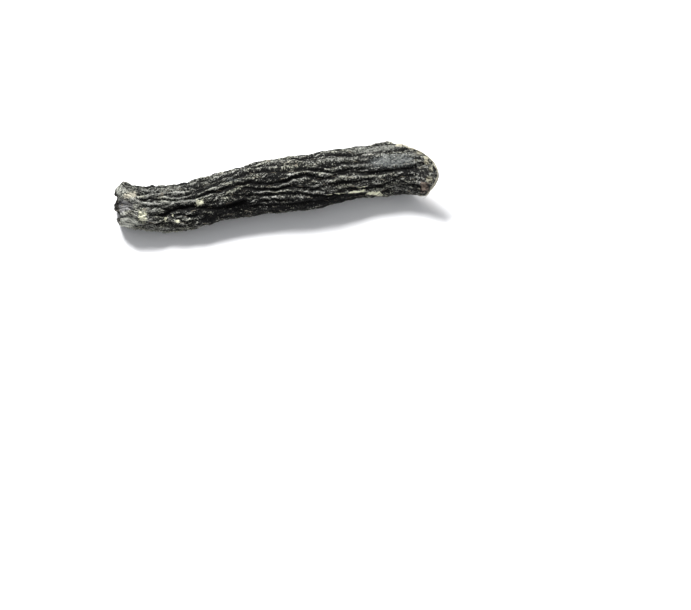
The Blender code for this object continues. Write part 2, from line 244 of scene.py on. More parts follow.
def sag_of_furrow(along, turn, half, path_turn, start, end, depth, half_width):
    """How deep one furrow cuts at each place: a sharp valley in a soft trough, fading at its ends."""
    across = np.abs(turn_apart(turn, path_turn)) * half / half_width
    fade = smooth_step(start, start + FURROW_FADE, along) * (1 - smooth_step(end - FURROW_FADE, end, along))
    valley = np.clip(1 - across, 0, 1) ** FURROW_SHARPNESS
    trough = np.clip(1 - across / FURROW_TROUGH_WIDTH, 0, 1) ** 2
    return depth * fade * ((1 - FURROW_TROUGH) * valley + FURROW_TROUGH * trough)


def near_furrows(along, turn, middle, half):
    """The deepest of the listed furrows, at each place."""
    deepest = np.zeros_like(along)
    for depth, half_width, path in NEAR_FURROWS:
        path_turn = np.arccos(np.clip((curve(path, along) - middle) / half, -1, 1))
        start = path[0][0] - FURROW_RUN_OUT
        end = path[-1][0] + FURROW_RUN_OUT
        sag = sag_of_furrow(along, turn, half, path_turn, start, end, depth, half_width)
        deepest = np.maximum(deepest, sag)
    return deepest


def waves(along, parts):
    """The sum of these waves at each place along the root."""
    return sum(size * np.sin(2 * math.pi * along / length + start) for size, length, start in parts)


def lane_furrows(along, turn, half, furrow_set):
    """The deepest of one set of furrows that follow the rule, at each place."""
    first_turn, last_turn, lanes, lengths, depths, half_widths, seed = furrow_set
    draw = np.random.RandomState(seed)
    deepest = np.zeros_like(along)
    lane_width = (last_turn - first_turn) / lanes
    together = waves(along, LANE_WANDER)
    for lane in range(lanes + 1):
        start = draw.uniform(*LANE_START)
        while start < LANES_END:
            end = start + draw.uniform(*lengths)
            lane_turn = first_turn + (lane + draw.uniform(-LANE_STRAY, LANE_STRAY)) * lane_width
            bends = draw.choice([-1, 1], 2) * lane_width * LANE_BEND
            own_start = draw.uniform(0, 2 * math.pi)
            own = waves(along, [(OWN_WANDER, draw.uniform(*OWN_WANDER_LENGTH), own_start)])
            path_turn = (
                lane_turn
                + together
                + own
                + bends[0] * (1 - smooth_step(start, start + LANE_BEND_LENGTH, along))
                + bends[1] * smooth_step(end - LANE_BEND_LENGTH, end, along)
            )
            depth = draw.uniform(*depths)
            half_width = draw.uniform(*half_widths)
            sag = sag_of_furrow(along, turn, half, path_turn, start, end, depth, half_width)
            deepest = np.maximum(deepest, sag)
            start = end - draw.uniform(*FURROW_OVERLAP)
    return deepest


print(len(NEAR_FURROWS), "furrows followed by eye, and", FAR_FURROWS[2], "lanes of them on the far side")

# %% [markdown]
# ## Small wrinkles
# Between the furrows, the bark is creased again, finer and finer, down to lines that can just be felt with
# a fingernail. Such creases can be drawn with a noise that is pulled out along the root: wherever the noise
# passes through zero there is a line, and these lines fork and join as real wrinkles do. The noise is taken
# in space and not on the flat grid, so it has no seam where the grid closes.

# %% A noise in space
ROOT_RADIUS = 9.5  # of the even tube on which the noise is laid out
NOISE_GAIN = 1.5  # brings the noise up to a range of about -1 to 1


def space_noise(points, seed):
    """Smooth noise in space, from about -1 to 1, with one wave to a unit."""
    draw = np.random.RandomState(seed)
    slopes = draw.normal(size=(256, 3))
    slopes /= np.linalg.norm(slopes, axis=1, keepdims=True)
    shuffled = np.tile(draw.permutation(256), 2)
    corner = np.floor(points).astype(int)
    inside = points - corner
    fade = inside**3 * (inside * (inside * 6 - 15) + 10)
    total = np.zeros(len(points))
    for step in np.ndindex(2, 2, 2):
        at = (corner + step) & 255
        slope = slopes[shuffled[shuffled[shuffled[at[:, 0]] + at[:, 1]] + at[:, 2]]]
        share = np.prod(np.where(np.array(step) == 1, fade, 1 - fade), axis=1)
        total += share * np.einsum("ij,ij->i", slope, inside - step)
    return total * NOISE_GAIN


def round_root(along, turn, spacing, stretch):
    """Places on an even tube, in units of the spacing round it and of spacing times stretch along it."""
    radius = ROOT_RADIUS / spacing
    return np.stack([along / (spacing * stretch), radius * np.cos(turn), radius * np.sin(turn)], axis=-1)


def noise_round_root(along, turn, parts):
    """The sum of these noises, each given as (size, spacing, stretch, seed), at each place on the root."""
    return sum(
        size * space_noise(round_root(along, turn, spacing, stretch), seed)
        for size, spacing, stretch, seed in parts
    )


def creases(along, turn, spacing, stretch, narrow, seed):
    """1 in the bottom of each crease, falling to 0 on the ridges between them."""
    noise = np.abs(space_noise(round_root(along, turn, spacing, stretch), seed))
    return np.clip(1 - noise / narrow, 0, 1)


def between(low, high, along, turn, size, seed):
    """A value that drifts between low and high over patches of this size in millimetres."""
    drift = space_noise(round_root(along, turn, size, 1.6), seed)
    return low + (high - low) * smooth_step(-0.35, 0.35, drift)


test_turns = np.linspace(0, 2 * math.pi, 400)
test_noise = space_noise(round_root(60.0 + 0 * test_turns, test_turns, 2.0, 1.0), 1)
print("noise runs from", round(test_noise.min(), 2), "to", round(test_noise.max(), 2), "once round the root")

# %% [markdown]
# The wrinkles come in several sizes, from folds two or three millimetres apart to lines of half a
# millimetre. Some sets turn slowly round the root, one way or the other, so that they cross and enclose
# long lozenges. Crumpled planes, puckers across the root and a fine grain are laid over them. Every line
# is shifted a little to the side by noise, because nothing on a root is ruled straight.

# %% The small wrinkles
# name: spacing, stretch, slant, narrowness, depth, seed. Lengths are in millimetres, and the slant is how
# far the lines turn round the root for each millimetre along it, against its radius.
WRINKLES = {
    "folds": (2.4, 3.4, 0.0, 0.28, 0.42, 11),
    "rising folds": (2.9, 3.2, 0.26, 0.20, 0.32, 16),
    "falling folds": (2.9, 3.2, -0.26, 0.20, 0.32, 17),
    "wrinkles": (1.25, 3.0, 0.0, 0.32, 0.27, 12),
    "lines": (0.62, 3.0, 0.0, 0.42, 0.15, 13),
}
CREST_LINES = (2.1, 3.6, 0.04, 0.12, 0.20, 18)  # thin raised folds, given like the wrinkles
WRINKLE_SHARPNESS = 1.3
CROWDING = (0.2, 1.2)  # how deep wrinkles are where the bark is calm, and where they crowd
CREST_CROWDING = (0.0, 1.3)
PUCKER_CROWDING = (0.0, 1.2)
# The sideways shifts, each as (size, spacing, stretch, seed): in radians round the root for the lines of
# wrinkles and for everything, and in millimetres along the root for everything.
LINE_SWING = [(0.20, 9.0, 1.3, 3), (0.08, 3.5, 1.2, 4)]
SIDE_STEPS = [(0.058, 3.4, 1.0, 5), (0.034, 1.4, 1.0, 6)]
ALONG_STEPS = [(0.8, 2.6, 1.0, 7)]
FACET_SPACINGS = [(3.6, 0.34, 24), (1.8, 0.20, 25)]  # spacing, height, seed of the crumpled planes
CRUMPLING = [(0, 1.35), (30, 1.25), (55, 0.9), (85, 0.6), (120, 0.5)]  # it is strongest at the thin end
PUCKER_SPACING = 0.8  # small folds across the root, where the bark has also shrunk lengthwise
PUCKER_DEPTH = 0.12
PUCKER_NARROW = 0.4
PUCKER_SHAPE = (1.0, 0.42, 0.42)  # pulled out round the root
GRAIN_SPACING = 0.55
GRAIN_HEIGHT = 0.11
CALMING = 0.72  # the share of the wrinkles that the calm spots lose
FACET_STRETCH = 1.25
FACET_OFFSET = 1.13  # the second noise of each pair is a little finer, so that the two never line up


def wandering(along, turn):
    """How far lines of wrinkles swing round the root, in radians."""
    return noise_round_root(along, turn, LINE_SWING)


def crumple(along, turn):
    """Small sideways shifts that make every line on the bark crooked, in radians and millimetres."""
    return noise_round_root(along, turn, SIDE_STEPS), noise_round_root(along, turn, ALONG_STEPS)


def facets(along, turn):
    """Crumpled planes that meet in sharp ridges and valleys, about 0 on average, in millimetres."""
    total = np.zeros_like(along)
    for spacing, height, seed in FACET_SPACINGS:
        place = round_root(along, turn, spacing, FACET_STRETCH)
        first = np.abs(space_noise(place, seed))
        total += height * (first - np.abs(space_noise(place * FACET_OFFSET, seed + 10)))
    return total


def small_wrinkles(along, turn, calm):
    """How deep all the small wrinkles are together, in millimetres: calm here and crowded there."""
    swung = turn + wandering(along, turn)
    depth = np.zeros_like(along)
    for number, (spacing, stretch, slant, narrow, deep, seed) in enumerate(WRINKLES.values()):
        crowding = between(*CROWDING, along, turn, 6.0 + number, 31 + number)
        slanted = swung + slant * along / ROOT_RADIUS
        line = creases(along, slanted, spacing, stretch, narrow, seed)
        depth += deep * crowding * line**WRINKLE_SHARPNESS
    spacing, stretch, slant, narrow, high, seed = CREST_LINES
    raised = creases(along, swung + slant * along / ROOT_RADIUS, spacing, stretch, narrow, seed)
    depth -= high * raised * between(*CREST_CROWDING, along, turn, 8.0, 38)
    place = round_root(along, turn, PUCKER_SPACING, 1.0) * PUCKER_SHAPE
    pucker = np.clip(1 - np.abs(space_noise(place, 14)) / PUCKER_NARROW, 0, 1)
    depth += PUCKER_DEPTH * pucker * between(*PUCKER_CROWDING, along, turn, 5.0, 37)
    depth += facets(along, turn)
    depth *= curve(CRUMPLING, along) * (1 - CALMING * calm)
    grain = space_noise(round_root(along, turn, GRAIN_SPACING, 1.0), 15)
    return depth + GRAIN_HEIGHT * (0.5 - grain)


print("wrinkles", ", ".join(f"{v[0]} mm apart" for v in WRINKLES.values()))

# %% [markdown]
# ## The two ends
# The crown end was cut through with one slanting stroke while the root was fresh. The cut face has dried a
# little hollow, its bark stands round it as a rim, and small cracks run out from its middle. The other end
# was torn: it is rounded, ragged, and split into an upper and a lower lobe.

# %% Describe the cut
CUT_MIDDLE = 107.6  # where the middle of its face is, along the root
CUT_LEAN_NEAR = 11.5  # how far the near lip stands out beyond the middle of the face
CUT_LEAN_LOW = 6.7  # how far the lower lip does
CUT_WARP = 2.1  # how far the face is twisted out of a plane, in two waves round the rim
CUT_WAVE = 1.5  # and in three
CUT_BLUNT = (math.radians(88), 0.9, math.radians(18))  # where, how far, how wide its tip is blunted
CUT_LEAN_START = 66.0  # from here on the rings lean over towards the cut
CUT_EDGE = 0.7  # how far the bark turns in at the rim
CUT_EDGE_SHARE = 0.975
CUT_DISH = 1.3  # how deep the dried face has sunk inside its bark
CUT_RING = 0.35  # the raised ring of wood inside the face
CUT_RING_AT = 0.60
CUT_RING_WIDTH = 0.10
CUT_CRACKS = 5
CUT_CRACK_DEPTH = 0.5
CUT_CRACK_WIDTH = 0.16
CUT_CRACK_START = (0.05, 0.30)  # shares of the way out over which a crack opens, and closes again
CUT_CRACK_END = (0.50, 0.75)


def cut_lean(turn):
    """How far the cut's rim stands out along the root at each turn, from the middle of the face."""
    middle, blunted, width = CUT_BLUNT
    return (
        CUT_LEAN_NEAR * np.sin(turn) - CUT_LEAN_LOW * np.cos(turn)
        + CUT_WARP * np.sin(2 * turn) - CUT_WAVE * np.sin(3 * turn)
        - blunted * bump(turn, middle, width)
    )


def cut_face_relief(turn, share):
    """The dried cut face: sunk in the middle, with a raised ring of wood and a few cracks outwards."""
    dish = CUT_DISH * (1 - share**2)
    ring = CUT_RING * math.exp(-(((share - CUT_RING_AT) / CUT_RING_WIDTH) ** 2))
    crack_turns = [2 * math.pi * (k + 0.25 * math.sin(5 * k)) / CUT_CRACKS for k in range(CUT_CRACKS)]
    cracks = CUT_CRACK_DEPTH * sum(bump(turn, middle, CUT_CRACK_WIDTH) for middle in crack_turns)
    opening = smooth_step(*CUT_CRACK_START, share) * (1 - smooth_step(*CUT_CRACK_END, share))
    return ring - dish - cracks * opening


print("the near lip of the cut stands", CUT_LEAN_NEAR, "mm beyond the middle of its face")

# %% [markdown]
# The torn end closes as a blunt dome. Soft bumps round it make the lobes, two notches across it show at its
# outline, and a hollow with a ragged edge runs in from the end between the lobes.

# %% Describe the torn end
TORN_ROUND = 2.0  # how long the dome is
TORN_FULLNESS = 0.5  # 1 is a round end, and less is a squarer one
TORN_EVEN_REACH = 0.5  # the lobes' average height, which doesn't add to the length
TORN_MIDDLE_REACH = 0.25  # what is left of the lobes in the middle of the end
TORN_LOBES = [
    (math.radians(44), 0.9, math.radians(30)),
    (math.radians(150), 0.3, math.radians(26)),
    (math.radians(275), 0.8, math.radians(60)),
]  # turn, reach, width
TORN_NOTCHES = [(1.9, 1.8, 1.5), (-4.1, 1.8, 1.8)]  # up, half height, depth
TORN_HOLLOW = (1.0, -0.9)  # the middle of the hollow between the lobes, as (along, up)
TORN_HOLLOW_REACH = (8.0, 3.3)
TORN_HOLLOW_DEPTH = 2.3
TORN_HOLLOW_EDGE = 0.55  # where its floor starts to rise, as a share of the way out
TORN_HOLLOW_RAGGED = [(0.16, 2.2, 1.0, 23)]  # size, spacing, stretch, seed


def torn_hollow(along, turn, middle, half):
    """How deep the hollow between the torn end's two lobes is, and how far inside it each place lies."""
    up = middle + half * np.cos(turn)
    ragged = noise_round_root(along, turn, TORN_HOLLOW_RAGGED)
    out_along = (along - TORN_HOLLOW[0]) / TORN_HOLLOW_REACH[0]
    out_up = (up - TORN_HOLLOW[1]) / TORN_HOLLOW_REACH[1]
    near_side = smooth_step(0.1, 0.35, np.sin(turn))
    inside = (1 - smooth_step(TORN_HOLLOW_EDGE, 1.0, np.hypot(out_along, out_up) + ragged)) * near_side
    return TORN_HOLLOW_DEPTH * inside, inside


def torn_notches(along, turn, share):
    """How far the notches across the torn end cut in."""
    middle, half = middle_and_half(along)
    up = middle + half * share * np.cos(turn)
    return sum(depth * np.clip(1 - ((up - at) / reach) ** 2, 0, 1) for at, reach, depth in TORN_NOTCHES)


def torn_reach(turn):
    """How far the torn end's lobes stand out beyond the rest of it."""
    return sum(reach * bump(turn, middle, width) for middle, reach, width in TORN_LOBES)


print("the torn end has", len(TORN_LOBES), "lobes and", len(TORN_NOTCHES), "notches")

# %% [markdown]
# ## The skin
# Every point of the skin is found in the same way: its place along the root and its turn round it give the
# tube, and then furrows, wrinkles, hollows and swellings move it in or out. A few soft spots are calmer,
# sunken or raised, where the picture shows them so. Some of what is found on the way, such as how deep in
# a crease the point lies, is kept for the materials.

# %% Find a point of the skin
WRINKLE_LEVEL = 0.30  # what the small wrinkles take off on average, given back
CALM_SPOTS = [(105.5, 5.6, 7.0, 2.6, 1.0), (88.0, 8.4, 5.0, 0.8, 0.5), (70.0, 8.0, 6.0, 0.8, 0.5)]
SUNK_SPOTS = [(26.0, -6.2, 8.5, 2.6, 0.7), (80.0, -6.3, 13.0, 1.6, 0.6), (107.0, -5.8, 6.0, 1.2, 0.4)]
RAISED_SPOTS = [
    (86.0, -4.0, 7.4, 0.55, 0.35), (95.8, -5.3, 2.7, 0.75, 0.40), (9.2, -5.4, 1.6, 2.0, 0.25),
    (31.6, -2.8, 1.7, 1.3, 0.30), (6.0, 2.9, 3.4, 0.9, 0.30), (15.2, 5.7, 0.9, 0.9, 0.60),
]  # (along, up, half length, half height, strength), where the camera sees them
# What makes the spots' outlines uneven, along the root and across it, as (size, spacing, stretch, seed).
SPOT_ALONG_STEPS = [(1, 2.0, 1.2, 51), (1, 0.8, 1, 53)]
SPOT_UP_STEPS = [(1, 1.6, 1.2, 52), (1, 0.7, 1, 54)]
SPOT_UNEVENNESS = 0.9
FURROW_UNEVENNESS = (0.75, 1.15)
DEEP_FURROW = 1.2
FURROW_CALM = 0.45  # the share of the small wrinkles that a deep furrow loses
RIM_CALM = 2.2  # how far from the cut the wrinkles run out
RIM_WRINKLE_LOSS = 0.9  # the shares of the wrinkles and of the furrows that are gone at the rim
RIM_FURROW_LOSS = 0.5
LIP_HEIGHT = 0.35  # the bark's edge curls up at the cut, with a groove behind it
LIP_WIDTH = 0.55
GROOVE_DEPTH = 0.40
GROOVE_PLACE = 1.7
GROOVE_WIDTH = 0.7


def spots_at(along, turn, spots):
    """How much each point belongs to one of these spots, from 0 to 1. Noise makes their outlines uneven."""
    middle, half = middle_and_half(along)
    up = middle + half * np.cos(turn)
    along_step = SPOT_UNEVENNESS * noise_round_root(along, turn, SPOT_ALONG_STEPS)
    up_step = SPOT_UNEVENNESS * noise_round_root(along, turn, SPOT_UP_STEPS)
    near = smooth_step(-0.15, 0.1, np.sin(turn))
    strongest = np.zeros_like(along)
    for spot_along, spot_up, length, height, strength in spots:
        far_along = np.abs(along + along_step * min(1, length / 2) - spot_along) / length
        far_up = np.abs(up + up_step * min(1, height / 2) - spot_up) / height
        strongest = np.maximum(strongest, strength * np.exp(-(far_along**3 + far_up**3)) * near)
    return strongest


def lip(along, turn):
    """The curled edge of the bark at the cut, and the groove behind it, in millimetres outwards."""
    from_edge = CUT_MIDDLE + cut_lean(turn) - along
    uneven = between(0.6, 1.1, along, turn, 4.0, 39)
    edge = LIP_HEIGHT * np.exp(-((from_edge / LIP_WIDTH) ** 2))
    groove = GROOVE_DEPTH * np.exp(-(((from_edge - GROOVE_PLACE) / GROOVE_WIDTH) ** 2))
    return uneven * (edge - groove)


def surface(along, turn, share):
    """Points of the root's outside in millimetres, and how deep the furrows, wrinkles and hollow are there.

    x runs along the root, y across the floor, and z is the height above it.
    """
    middle, half = middle_and_half(along)
    width = half / math.hypot(math.sin(VIEW_SLANT), math.cos(VIEW_SLANT) * FLATNESS)
    thickness = width * FLATNESS
    tilt = math.atan2(math.cos(VIEW_SLANT) * FLATNESS, math.sin(VIEW_SLANT))
    side_step, along_step = crumple(along, turn)
    bent_along, bent_turn = along + along_step, turn + side_step
    near = near_furrows(bent_along, bent_turn, middle, half)
    far = lane_furrows(bent_along, bent_turn, half, FAR_FURROWS)
    fold = lane_furrows(bent_along, bent_turn, half, FINE_FOLDS)
    at_rim = np.exp(-(((CUT_MIDDLE + cut_lean(turn) - along) / RIM_CALM) ** 2))
    uneven = between(*FURROW_UNEVENNESS, along, turn, 6.0, 36)
    main = FURROW_DEPTH * np.maximum(near, far) * uneven * (1 - RIM_FURROW_LOSS * at_rim)
    calm = np.maximum(spots_at(along, turn, CALM_SPOTS), RIM_WRINKLE_LOSS * at_rim)
    fine = small_wrinkles(bent_along, bent_turn, calm)
    fine = fine * (1 - FURROW_CALM * np.clip(main / DEEP_FURROW, 0, 1))
    hollow, inside = torn_hollow(along, turn, middle, half)
    relief = RIDGE_FULLNESS + WRINKLE_LEVEL + swelling(along, turn) + lip(along, turn)
    relief = relief - hollow - main - fold - fine
    relief = relief - spots_at(along, turn, SUNK_SPOTS) + spots_at(along, turn, RAISED_SPOTS)
    relief = relief * share**2  # so that the wrinkles don't run together in the middle of an end
    angle = turn + tilt
    across = np.cos(angle) / width
    upward = np.sin(angle) / thickness
    steep = np.hypot(across, upward)
    centre_height = thickness + curve(BELLY_LIFT, along)
    centre_across = (middle - math.cos(VIEW_SLANT) * centre_height) / math.sin(VIEW_SLANT)
    y = centre_across + share * (width * np.cos(angle) + relief * across / steep)
    z = centre_height + share * (thickness * np.sin(angle) + relief * upward / steep)
    return np.stack([along, y, z], axis=-1), (main + fold, fine, inside)


test_ring = surface(60.0 + 0 * test_turns, test_turns, 1.0)[0]
print("half way along, the root is", round(float(np.ptp(test_ring[:, 1])), 1), "mm wide and",
      round(float(np.ptp(test_ring[:, 2])), 1), "mm thick")

# %% [markdown]
# Now the rings are laid: a few close the torn end, most make the bark, and the last ones draw in over the
# cut face. They are far closer together than in the plain solid, so that the small wrinkles can be real
# shape and not only shading.

# %% Lay the rings of the skin
AROUND = 324
SIDE_RINGS = 245
TORN_CAP_RINGS = 24
CUT_CAP_RINGS = 18
CUT_CAP_SPACING = 1.15  # above 1, the rings of the cut face are closer together near its rim
TORN_RAGGEDNESS = 0.8
TORN_TEARS = [(1.6, 1.0, 21), (0.9, 2.4, 22), (0.5, 5.5, 26)]  # height, how fine, seed
TORN_TEAR_SCALE = 0.55
KINDS_OF_NOTE = ("crease", "fine", "hollow", "torn", "cut", "along", "turn", "share")
notes = {kind: [] for kind in KINDS_OF_NOTE}


def note(depths, torn, cut, along, turn, share=1.0):
    """Writes down what is known about the points of one ring."""
    for kind, value in zip(KINDS_OF_NOTE, (*depths, torn, cut, along, turn, share)):
        notes[kind].append(np.broadcast_to(value, (AROUND,)).astype(float))


def torn_cap(turn):
    """The rings that close the torn end, from its middle outwards."""
    rings = []
    for quarter in np.linspace(math.pi / 2, 0, TORN_CAP_RINGS + 1)[:-1]:
        share = math.cos(quarter) ** TORN_FULLNESS
        out = math.sin(quarter) ** TORN_FULLNESS
        lobes = (torn_reach(turn) - TORN_EVEN_REACH) * (TORN_MIDDLE_REACH + (1 - TORN_MIDDLE_REACH) * share)
        along = TORN_ROUND * (1 - out) - lobes * out
        along = along + torn_notches(along, turn, share) * out
        points, (main, fine, inside) = surface(along, turn, share)
        flat = np.stack([points[:, 1], points[:, 2], np.zeros(AROUND)], axis=-1) * TORN_TEAR_SCALE
        rough = sum(high * np.abs(space_noise(flat * fine_by, seed)) for high, fine_by, seed in TORN_TEARS)
        points[:, 0] += TORN_RAGGEDNESS * rough * (0.2 + 0.8 * smooth_step(0, 0.6, out))
        rings.append(points)
        note((main, fine + 0.5 * rough, inside), smooth_step(0.1, 0.7, out), 0, along, turn, share)
    return rings


def side(turn):
    """The rings of the bark, upright at the torn end and leaning with the cut at the other."""
    lean = cut_lean(turn)
    rings = []
    for along in np.linspace(TORN_ROUND, CUT_MIDDLE - CUT_EDGE, SIDE_RINGS):
        place = along + lean * smooth_step(CUT_LEAN_START, CUT_MIDDLE, along)
        points, depths = surface(place, turn, 1.0)
        rings.append(points)
        note(depths, 0, 0, place, turn)
    points, depths = surface(CUT_MIDDLE + lean, turn, CUT_EDGE_SHARE)
    rings.append(points)
    note(depths, 0, 0.5, CUT_MIDDLE + lean, turn)
    return rings


def cut_cap(rim, turn):
    """The rings of the cut face, drawn in from its rim to its middle."""
    middle = rim.mean(axis=0)
    rings = []
    for number in range(1, CUT_CAP_RINGS):
        share = 1 - (number / CUT_CAP_RINGS) ** CUT_CAP_SPACING
        ring = middle + (rim - middle) * share
        ring[:, 0] += cut_face_relief(turn, share)
        rings.append(ring)
        note((0, 0, 0), 0, 1, share, turn)
    return rings


turn = np.arange(AROUND) * 2 * math.pi / AROUND
torn_rings = torn_cap(turn)
side_rings = side(turn)
rings = np.array(torn_rings + side_rings + cut_cap(side_rings[-1], turn))
print(len(rings), "rings of", AROUND, "points")

# %% [markdown]
# The rings become one closed mesh: squares between neighbouring rings, and a fan of triangles in the middle
# of each end. The lowest ridges are worn flat where the root lies on them, as they are in the plain solid,
# and the whole skin moves to where the solid stands.

# %% Close the skin
BELLY_LOW = -0.4665  # how far the solid was lowered, so that its lowest ridges are cut flat by the floor
PLACE = (-59.974, 4.339)  # how far it was moved along and across, to stand over the origin


def closed_faces(count, around):
    """Squares between the rings and a fan at each end. The two ends' middles are the last two points."""
    j = np.arange(around)
    k = (j + 1) % around
    i = np.arange(count - 1)[:, None] * around
    squares = np.stack([i + j, i + k, i + around + k, i + around + j], axis=-1).reshape(-1, 4)
    torn_middle = count * around
    last = (count - 1) * around
    torn_fan = np.stack([np.full(around, torn_middle), k, j], axis=-1)
    cut_fan = np.stack([np.full(around, torn_middle + 1), last + j, last + k], axis=-1)
    return squares.tolist() + torn_fan.tolist() + cut_fan.tolist()


def with_ends(rings, torn_end, cut_end):
    """The values of every ring but the first, then those of the two ends' middles."""
    return np.concatenate([rings[1:].reshape(-1, *rings.shape[2:]), [torn_end, cut_end]])


cut_middle = side_rings[-1].mean(axis=0) + [cut_face_relief(turn, 0).mean(), 0, 0]
points = with_ends(rings, rings[0].mean(axis=0), cut_middle)
points[:, :2] += PLACE
points[:, 2] += BELLY_LOW
solid_box = np.array(cad_box) / MM
outside = (points < solid_box[0]) | (points > solid_box[1])
points = np.clip(points, *solid_box)
noted = {name: np.array(values) for name, values in notes.items()}
noted = {name: with_ends(values, values[0].mean(), values[-1].mean()) for name, values in noted.items()}

skin_mesh = bpy.data.meshes.new("comfrey_root_skin")
skin_mesh.from_pydata((points * MM).tolist(), [], closed_faces(len(rings) - 1, AROUND))
skin_mesh.shade_smooth()
skin = bpy.data.objects.new("comfrey_root_skin", skin_mesh)
bpy.context.scene.collection.objects.link(skin)
print("held inside the solid's box:", outside.any(axis=1).sum(), "of", len(points), "points")
print("the skin has", sum(len(p.vertices) - 2 for p in skin_mesh.polygons), "triangles")

# %% [markdown]
# ## What each point of the skin knows
# A material can only be as good as what it knows about the surface. Each point gets its depth in the
# creases, how far it stands out as a ridge, its place on an even tube (so that streaks follow the wrinkles
# and not the bends of the root), and how much it belongs to one of the patches where the bark has
# peeled or been rubbed pale, or to one of the dark patches, which are painted shade.

# %% List the patches
PATCHES = {
    "pale": [
        (10.1, -5.8, 1.7, 2.6, 0.74), (31.6, -2.8, 1.8, 1.4, 0.72), (18.4, -7.8, 0.5, 0.8, 1.0),
        (22.6, -8.7, 1.0, 0.45, 0.8), (21.3, -6.8, 0.4, 0.6, 0.6), (89.4, -4.2, 3.6, 0.34, 1.2),
        (82.0, -4.3, 4.0, 0.24, 0.8), (95.9, -5.6, 2.6, 0.85, 1.3), (91.5, -2.9, 1.6, 0.5, 0.6),
    ],
    "tan": [
        (114.6, 7.9, 2.6, 0.9, 0.7), (116.2, 4.9, 1.1, 1.4, 0.8), (117.4, 1.6, 0.9, 1.8, 0.5),
        (116.4, -2.4, 1.2, 1.4, 0.8), (111.0, 9.6, 2.0, 0.8, 0.45), (66.0, 9.6, 6.0, 1.2, 0.34),
    ],
    "ashen": [(4.0, -7.2, 4.4, 1.9, 1.0), (3.0, 4.4, 3.0, 1.2, 0.5)],
    "cream": [(6.4, 2.7, 2.9, 1.1, 0.85), (49.0, -8.0, 2.0, 0.8, 0.4), (107.2, 11.6, 1.4, 0.8, 0.9)],
    "worn": [
        (3.0, 5.4, 3.6, 2.2, 0.44), (9.0, 4.4, 6.0, 1.4, 0.38), (64.0, 9.9, 9.0, 1.1, 0.48),
        (20.0, 2.6, 13.0, 1.6, 0.46), (23.0, -0.9, 10.0, 1.8, 0.50), (8.0, -8.4, 5.0, 1.4, 0.60),
        (106.0, -4.6, 6.0, 1.2, 0.45), (114.0, 3.2, 2.6, 0.9, 0.6), (14.0, -3.4, 5.0, 2.0, 0.45),
        (84.0, 8.0, 12.0, 0.8, 0.42), (70.0, -1.5, 8.0, 0.5, 0.4), (98.0, 11.0, 12.0, 1.3, 0.56),
        (97.0, -4.6, 5.0, 0.8, 0.4),
    ],
    "flesh": [(114.6, -4.6, 1.4, 1.9, 0.95)],
    "smooth": [(104.0, 5.8, 9.0, 2.7, 0.85), (45.0, 4.8, 4.0, 1.0, 0.5), (70.0, -0.2, 4.0, 0.9, 0.4)],
    # painted shade: the dark patches make the bark darker where shade falls on it, most of all along its
    # lower side
    "dark": [
        (27.0, -6.6, 8.5, 3.6, 0.7), (38.0, -8.5, 12.0, 3.0, 1.0), (54.0, -7.8, 14.0, 2.2, 1.0),
        (80.0, -6.2, 15.0, 2.0, 1.5), (108.0, -5.4, 6.0, 1.4, 0.6), (12.0, 0.6, 3.0, 0.9, 0.6),
        (62.0, 0.8, 18.0, 1.8, 0.45), (110.0, 0.8, 7.0, 1.4, 0.35), (20.0, 5.4, 12.0, 1.5, 0.8),
        (6.5, 6.6, 4.0, 1.6, 0.5), (63.0, 4.6, 14.0, 1.6, 0.45), (68.0, -6.0, 12.0, 2.4, 0.6),
        (64.0, 8.6, 12.0, 0.5, 0.5), (86.0, 10.0, 12.0, 0.5, 0.9), (30.0, -10.2, 14.0, 1.4, 0.5),
    ],
    "dusty": [
        (18.5, -7.9, 2.5, 1.2, 1.0), (22.5, -8.3, 2.5, 1.0, 1.0), (4.5, -4.2, 4.0, 1.6, 0.9),
        (87.0, 2.0, 16.0, 5.0, 0.5), (60.0, 8.0, 20.0, 2.0, 0.35), (100.0, 8.0, 10.0, 3.0, 0.6),
    ],
}  # (along, up, half length, half height, strength), where the camera sees them
print("patches:", ", ".join(f"{len(spots)} {name}" for name, spots in PATCHES.items()))

# %% [markdown]
# A mesh can keep any number at its points, as an attribute, and a material can read it by its name. A ridge
# is a point that stands out from the average of its neighbours round the root. With many neighbours that
# finds the broad folds, and with few of them the thin crests.

# %% Keep creases, ridges and patches on the skin
# Each is (what is compared with its surroundings, how many points to either side of it).
RIDGES = {"ridge": ("all", 9), "crest": ("all", 2), "shoulder": ("furrows", 5)}
RIDGE_RANGE = 5  # how many times the usual height, from top to bottom, fills the range from 0 to 1
DEEPEST = {"crease": 1.7, "fine": 0.8}  # the depths that count as 1, in millimetres
FACE_FROM = 0.9  # points noted as cut by at least this much belong to the cut face
NEAR_FROM = -0.2  # the near side, by the sine of the turn
RIM_WIDTHS = (0.75, 0.5)  # how far the rubbed rim reaches on the near and on the far side
RIM_UNEVENNESS = (0.5, 1.5)
OPEN_ABOVE = 1.2  # how high a point has to be for loose pieces to lie there, in millimetres


def keep(mesh, name, values):
    """Stores one number, or three, for each point of the mesh."""
    kind = "FLOAT" if values.ndim == 1 else "FLOAT_VECTOR"
    field = "value" if values.ndim == 1 else "vector"
    mesh.attributes.new(name, kind, "POINT").data.foreach_set(field, values.astype(np.float32).ravel())


